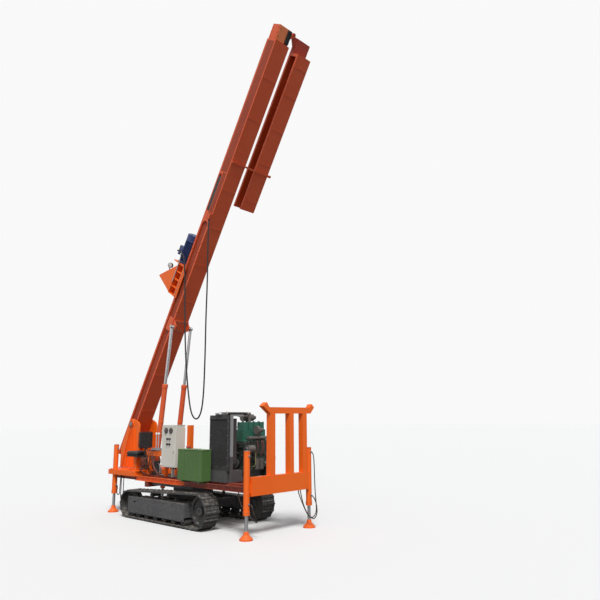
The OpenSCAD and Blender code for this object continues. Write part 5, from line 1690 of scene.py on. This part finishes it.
@dataclass
class PowerPack:
    """The open engine and the radiator: pipes, belt, bolts, filters and fins."""

    x0: float = -1.23
    y0: float = -0.12
    width: float = 0.44
    length: float = 0.70
    top: float = 1.88
    rad_x0: float = -1.27
    rad_y0: float = -0.56
    rad_z0: float = 1.03
    rad_w: float = 0.54
    rad_h: float = 0.98
    fins: int = 54

    def dress(self, work: Workshop) -> None:
        """Makes the pieces of the engine and of the radiator.

        Args:
            work: the workshop.
        """
        xm = self.x0 + self.width / 2
        cylinders = [self.y0 + 0.14 + 0.14 * k for k in range(4)]
        self._bolts(work, xm, cylinders)
        pump = at(self.x0 + 0.02, self.y0 + 0.22, 1.34)
        maker = Maker()
        for k, y in enumerate(cylinders):
            maker.tube(smooth_route([
                pump + Vector((0, 0.035 * k, 0.08)), pump + Vector((-0.01, 0.035 * k, 0.20)),
                at(self.x0 - 0.005, y - 0.02, 1.64), at(xm - 0.15, y, 1.80),
                at(xm - 0.085, y, 1.80)]), 4.5, 6)
        work.finish(maker.done("injection_lines"), "rubbed_steel")
        self._fittings(work, xm, pump)
        maker = Maker()
        for k, y in enumerate((180, 290, 330)):
            maker.pipe([(-800, y, 1260), (-765, y + 5, 1340), (-770, y + 20, 1440),
                        (-810, y + 30, 1540), (-850 - 20 * k, y + 30, 1620)], 7)
        work.finish(maker.done("fuel_lines"), "brown_hose")
        maker = Maker()
        maker.pipe([(-1120, -510, 2030), (-1105, -455, 2062), (-1070, -350, 2052),
                    (-1035, -200, 2020), (-1005, -30, 1970), (-1000, 50, 1880)], 8)
        work.finish(maker.done("breather_pipe"), "galvanised")
        generator = at(self.x0 + self.width + 0.04, 0, 1.39)
        loop = self._belt_loop(((at(xm, 0, 1.39), 0.055), (at(xm, 0, 1.12), 0.082),
                                (generator, 0.040)))
        maker = Maker()
        for y in (-0.146, -0.138):
            maker.tube([Vector((p.x, y, p.z)) for p in loop], 5.5, 6)
        work.finish(maker.done("fan_belt"), "black_rubber")
        maker = Maker()
        maker.turned(generator + FAR * (self.y0 - 0.035), FAR,
                     [(42, 0), (30, 6), (30, 16), (42, 22), (42, 70)], 20)
        work.finish(maker.done("generator_pulley"), "rubbed_steel")
        self._radiator(work)

    def _bolts(self, work: Workshop, xm: float, cylinders: Sequence[float]) -> None:
        """Makes the engine's bolts and the ribs of its block.

        Args:
            work: the workshop.
            xm: the engine's middle.
            cylinders: the place of each cylinder.
        """
        bolts = [Spot(at(xm + dx, y + dy, self.top), UP)
                 for y in cylinders for dx in (-0.07, 0.07) for dy in (-0.045, 0.045)]
        for side, x in ((-1, self.x0 + 0.04), (1, self.x0 + self.width - 0.04)):
            for z in (1.03, 1.52):
                bolts += row_spots(at(x, self.y0 + 0.04, z), at(x, self.y0 + 0.66, z), 8,
                                   REAR * side, FAR)
        bolts += ring_spots(at(xm, self.y0 + self.length + 0.09, 1.20), FAR, 0.20, 12)
        bolts += [Spot(at(self.x0 + dx, self.y0, z), NEAR)
                  for z in (1.06, 1.28, 1.50) for dx in (0.07, 0.37)]
        work.bolts("engine_bolts", bolts, 20, 10)
        x = self.x0 + self.width - 0.041
        ribs = row_spots(at(x, self.y0 + 0.03, 1.42), at(x, self.y0 + 0.67, 1.42), 9, REAR, UP)
        ribs += [Spot(s.place - REAR * (self.width - 0.078), -REAR, UP) for s in ribs]
        work.repeat(Repeat.BAR, "block_ribs", ribs, (160, 14, 12), "engine_green")

    def _fittings(self, work: Workshop, xm: float, pump: Vector) -> None:
        """Makes the pump, the air filter and the fillers of the engine.

        Args:
            work: the workshop.
            xm: the engine's middle.
            pump: the pump's place.
        """
        maker = Maker()
        maker.box(pump + Vector((-0.05, -0.05, -0.12)), pump + Vector((0.025, 0.20, 0.06)))
        for k in range(4):
            maker.turned(pump + Vector((0.0, 0.035 * k, 0.058)), UP, [(12, 0), (12, 20), (8, 26)],
                         10)
        maker.turned(pump + Vector((-0.012, 0.19, -0.03)), FAR, [(45, 0), (45, 50), (30, 60)], 18)
        c = at(xm - 0.070, self.y0 + 0.17, self.top + 0.085)
        maker.turned(c, FAR, [(45, 0), (66, 15), (66, 290), (45, 305)])
        maker.turned(c + FAR * 0.302, FAR, [(36, 0), (36, 50)], 20)
        maker.bar(c + Vector((0, 0.15, -0.05)), at(xm - 0.070, self.y0 + 0.32, self.top - 0.005),
                  35, 16)
        maker.turned(at(self.x0 + 0.13, self.y0 + 0.55, self.top - 0.135), UP,
                     [(28, -3), (28, 50), (36, 52), (36, 75), (30, 80)], 16)
        work.finish(maker.done("engine_fittings", 2), "engine_grey")

    @staticmethod
    def _belt_loop(wheels: Sequence[tuple[Vector, float]]) -> list[Vector]:
        """Lays a belt round three pulleys, as the hull of their circles.

        Args:
            wheels: middle and radius of each pulley.

        Returns:
            The belt's points, in order.
        """
        pts = []
        for c, r in wheels:
            for k in range(28):
                a = 2 * math.pi * k / 28
                pts.append((c.x + r * math.cos(a), c.z + r * math.sin(a)))
        pts.sort()

        def half(seq: Sequence[tuple[float, float]]) -> list[tuple[float, float]]:
            """Gives one half of the hull of sorted points.

            Args:
                seq: the points.

            Returns:
                The hull's points, without the last.
            """
            out: list[tuple[float, float]] = []
            for p in seq:
                while len(out) > 1 and ((out[-1][0] - out[-2][0]) * (p[1] - out[-2][1])
                                        - (out[-1][1] - out[-2][1]) * (p[0] - out[-2][0])) <= 0:
                    out.pop()
                out.append(p)
            return out[:-1]

        ring = half(pts) + half(pts[::-1])
        return [Vector((x, 0.0, z)) for x, z in ring + ring[:1]]

    def _radiator(self, work: Workshop) -> None:
        """Makes the radiator's cap, seams, clamps and fins.

        Args:
            work: the workshop.
        """
        x, y, z, wide = self.rad_x0, self.rad_y0, self.rad_z0, self.rad_w
        top = z + self.rad_h
        maker = Maker()
        for up in (0.055, self.rad_h - 0.075):
            maker.block(at(x - 0.004, y - 0.006, z + up), wide + 0.008, 0.112, 0.014)
        maker.turned(at(x + wide / 2, y + 0.05, top - 0.002), UP,
                     [(100, 0), (100, 12), (85, 22), (20, 24)], 28)
        work.finish(maker.done("radiator_seams", 2), "black_paint")
        maker = Maker()
        maker.turned(at(x + 0.15, y + 0.05, top + 0.025), UP,
                     [(30, 0), (38, 3), (38, 16), (30, 20)], 20)
        pipe_x, pipe_z = self.x0 + self.width / 2 + 0.052, self.top + 0.158
        for clamp_y in (y + 0.12, self.y0 + 0.20):
            maker.turned(at(pipe_x, clamp_y, pipe_z), FAR,
                         [(31, 0), (31.5, 2), (31.5, 16), (31, 18)], 20)
        screw = at(pipe_x + 0.012, y + 0.129, pipe_z)
        maker.bar(screw + UP * 0.028, screw + UP * 0.046, 6, 8)
        work.finish(maker.done("hose_clamps"), "galvanised")
        maker = Maker()
        maker.bar(at(pipe_x, y + 0.13, pipe_z), at(pipe_x, self.y0 + 0.18, pipe_z), 29.5, 18)
        work.finish(maker.done("water_hose"), "black_rubber")
        fin_x, fin_y = x + wide / 2, y + 0.0275
        fins = row_spots(at(fin_x, fin_y, z + 0.08), at(fin_x, fin_y, top - 0.08), self.fins, NEAR)
        work.repeat(Repeat.BAR, "radiator_fins", fins, (wide * 1000 - 70, 3, 10), "engine_grey")
        bolts = []
        for dx in (0.017, wide - 0.017):
            bolts += row_spots(at(x + dx, y, z + 0.1), at(x + dx, y, z + 0.88), 7, NEAR)
        work.bolts("radiator_bolts", bolts, 16, 7)


def main() -> None:
    """Dresses the frame, piece by piece."""
    logging.basicConfig(level=logging.INFO, format="%(message)s")
    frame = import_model()
    studio = Studio()
    studio.camera()
    shop = Paintshop()
    shop.coat_nodes(frame["nodes"])
    studio.light()
    studio.floor()
    work = Workshop(shop)
    for group in (PowerCable(), Legs(), DeckHoses(), Tracks(), Winch(), Seat(), PowerHead(),
                  MastTrim(), Lift(), Deck(), Cabinet(), Tank(), PowerPack()):
        group.dress(work)
        LOG.info("%s is done", type(group).__name__)


if __name__ == "__main__":
    main()
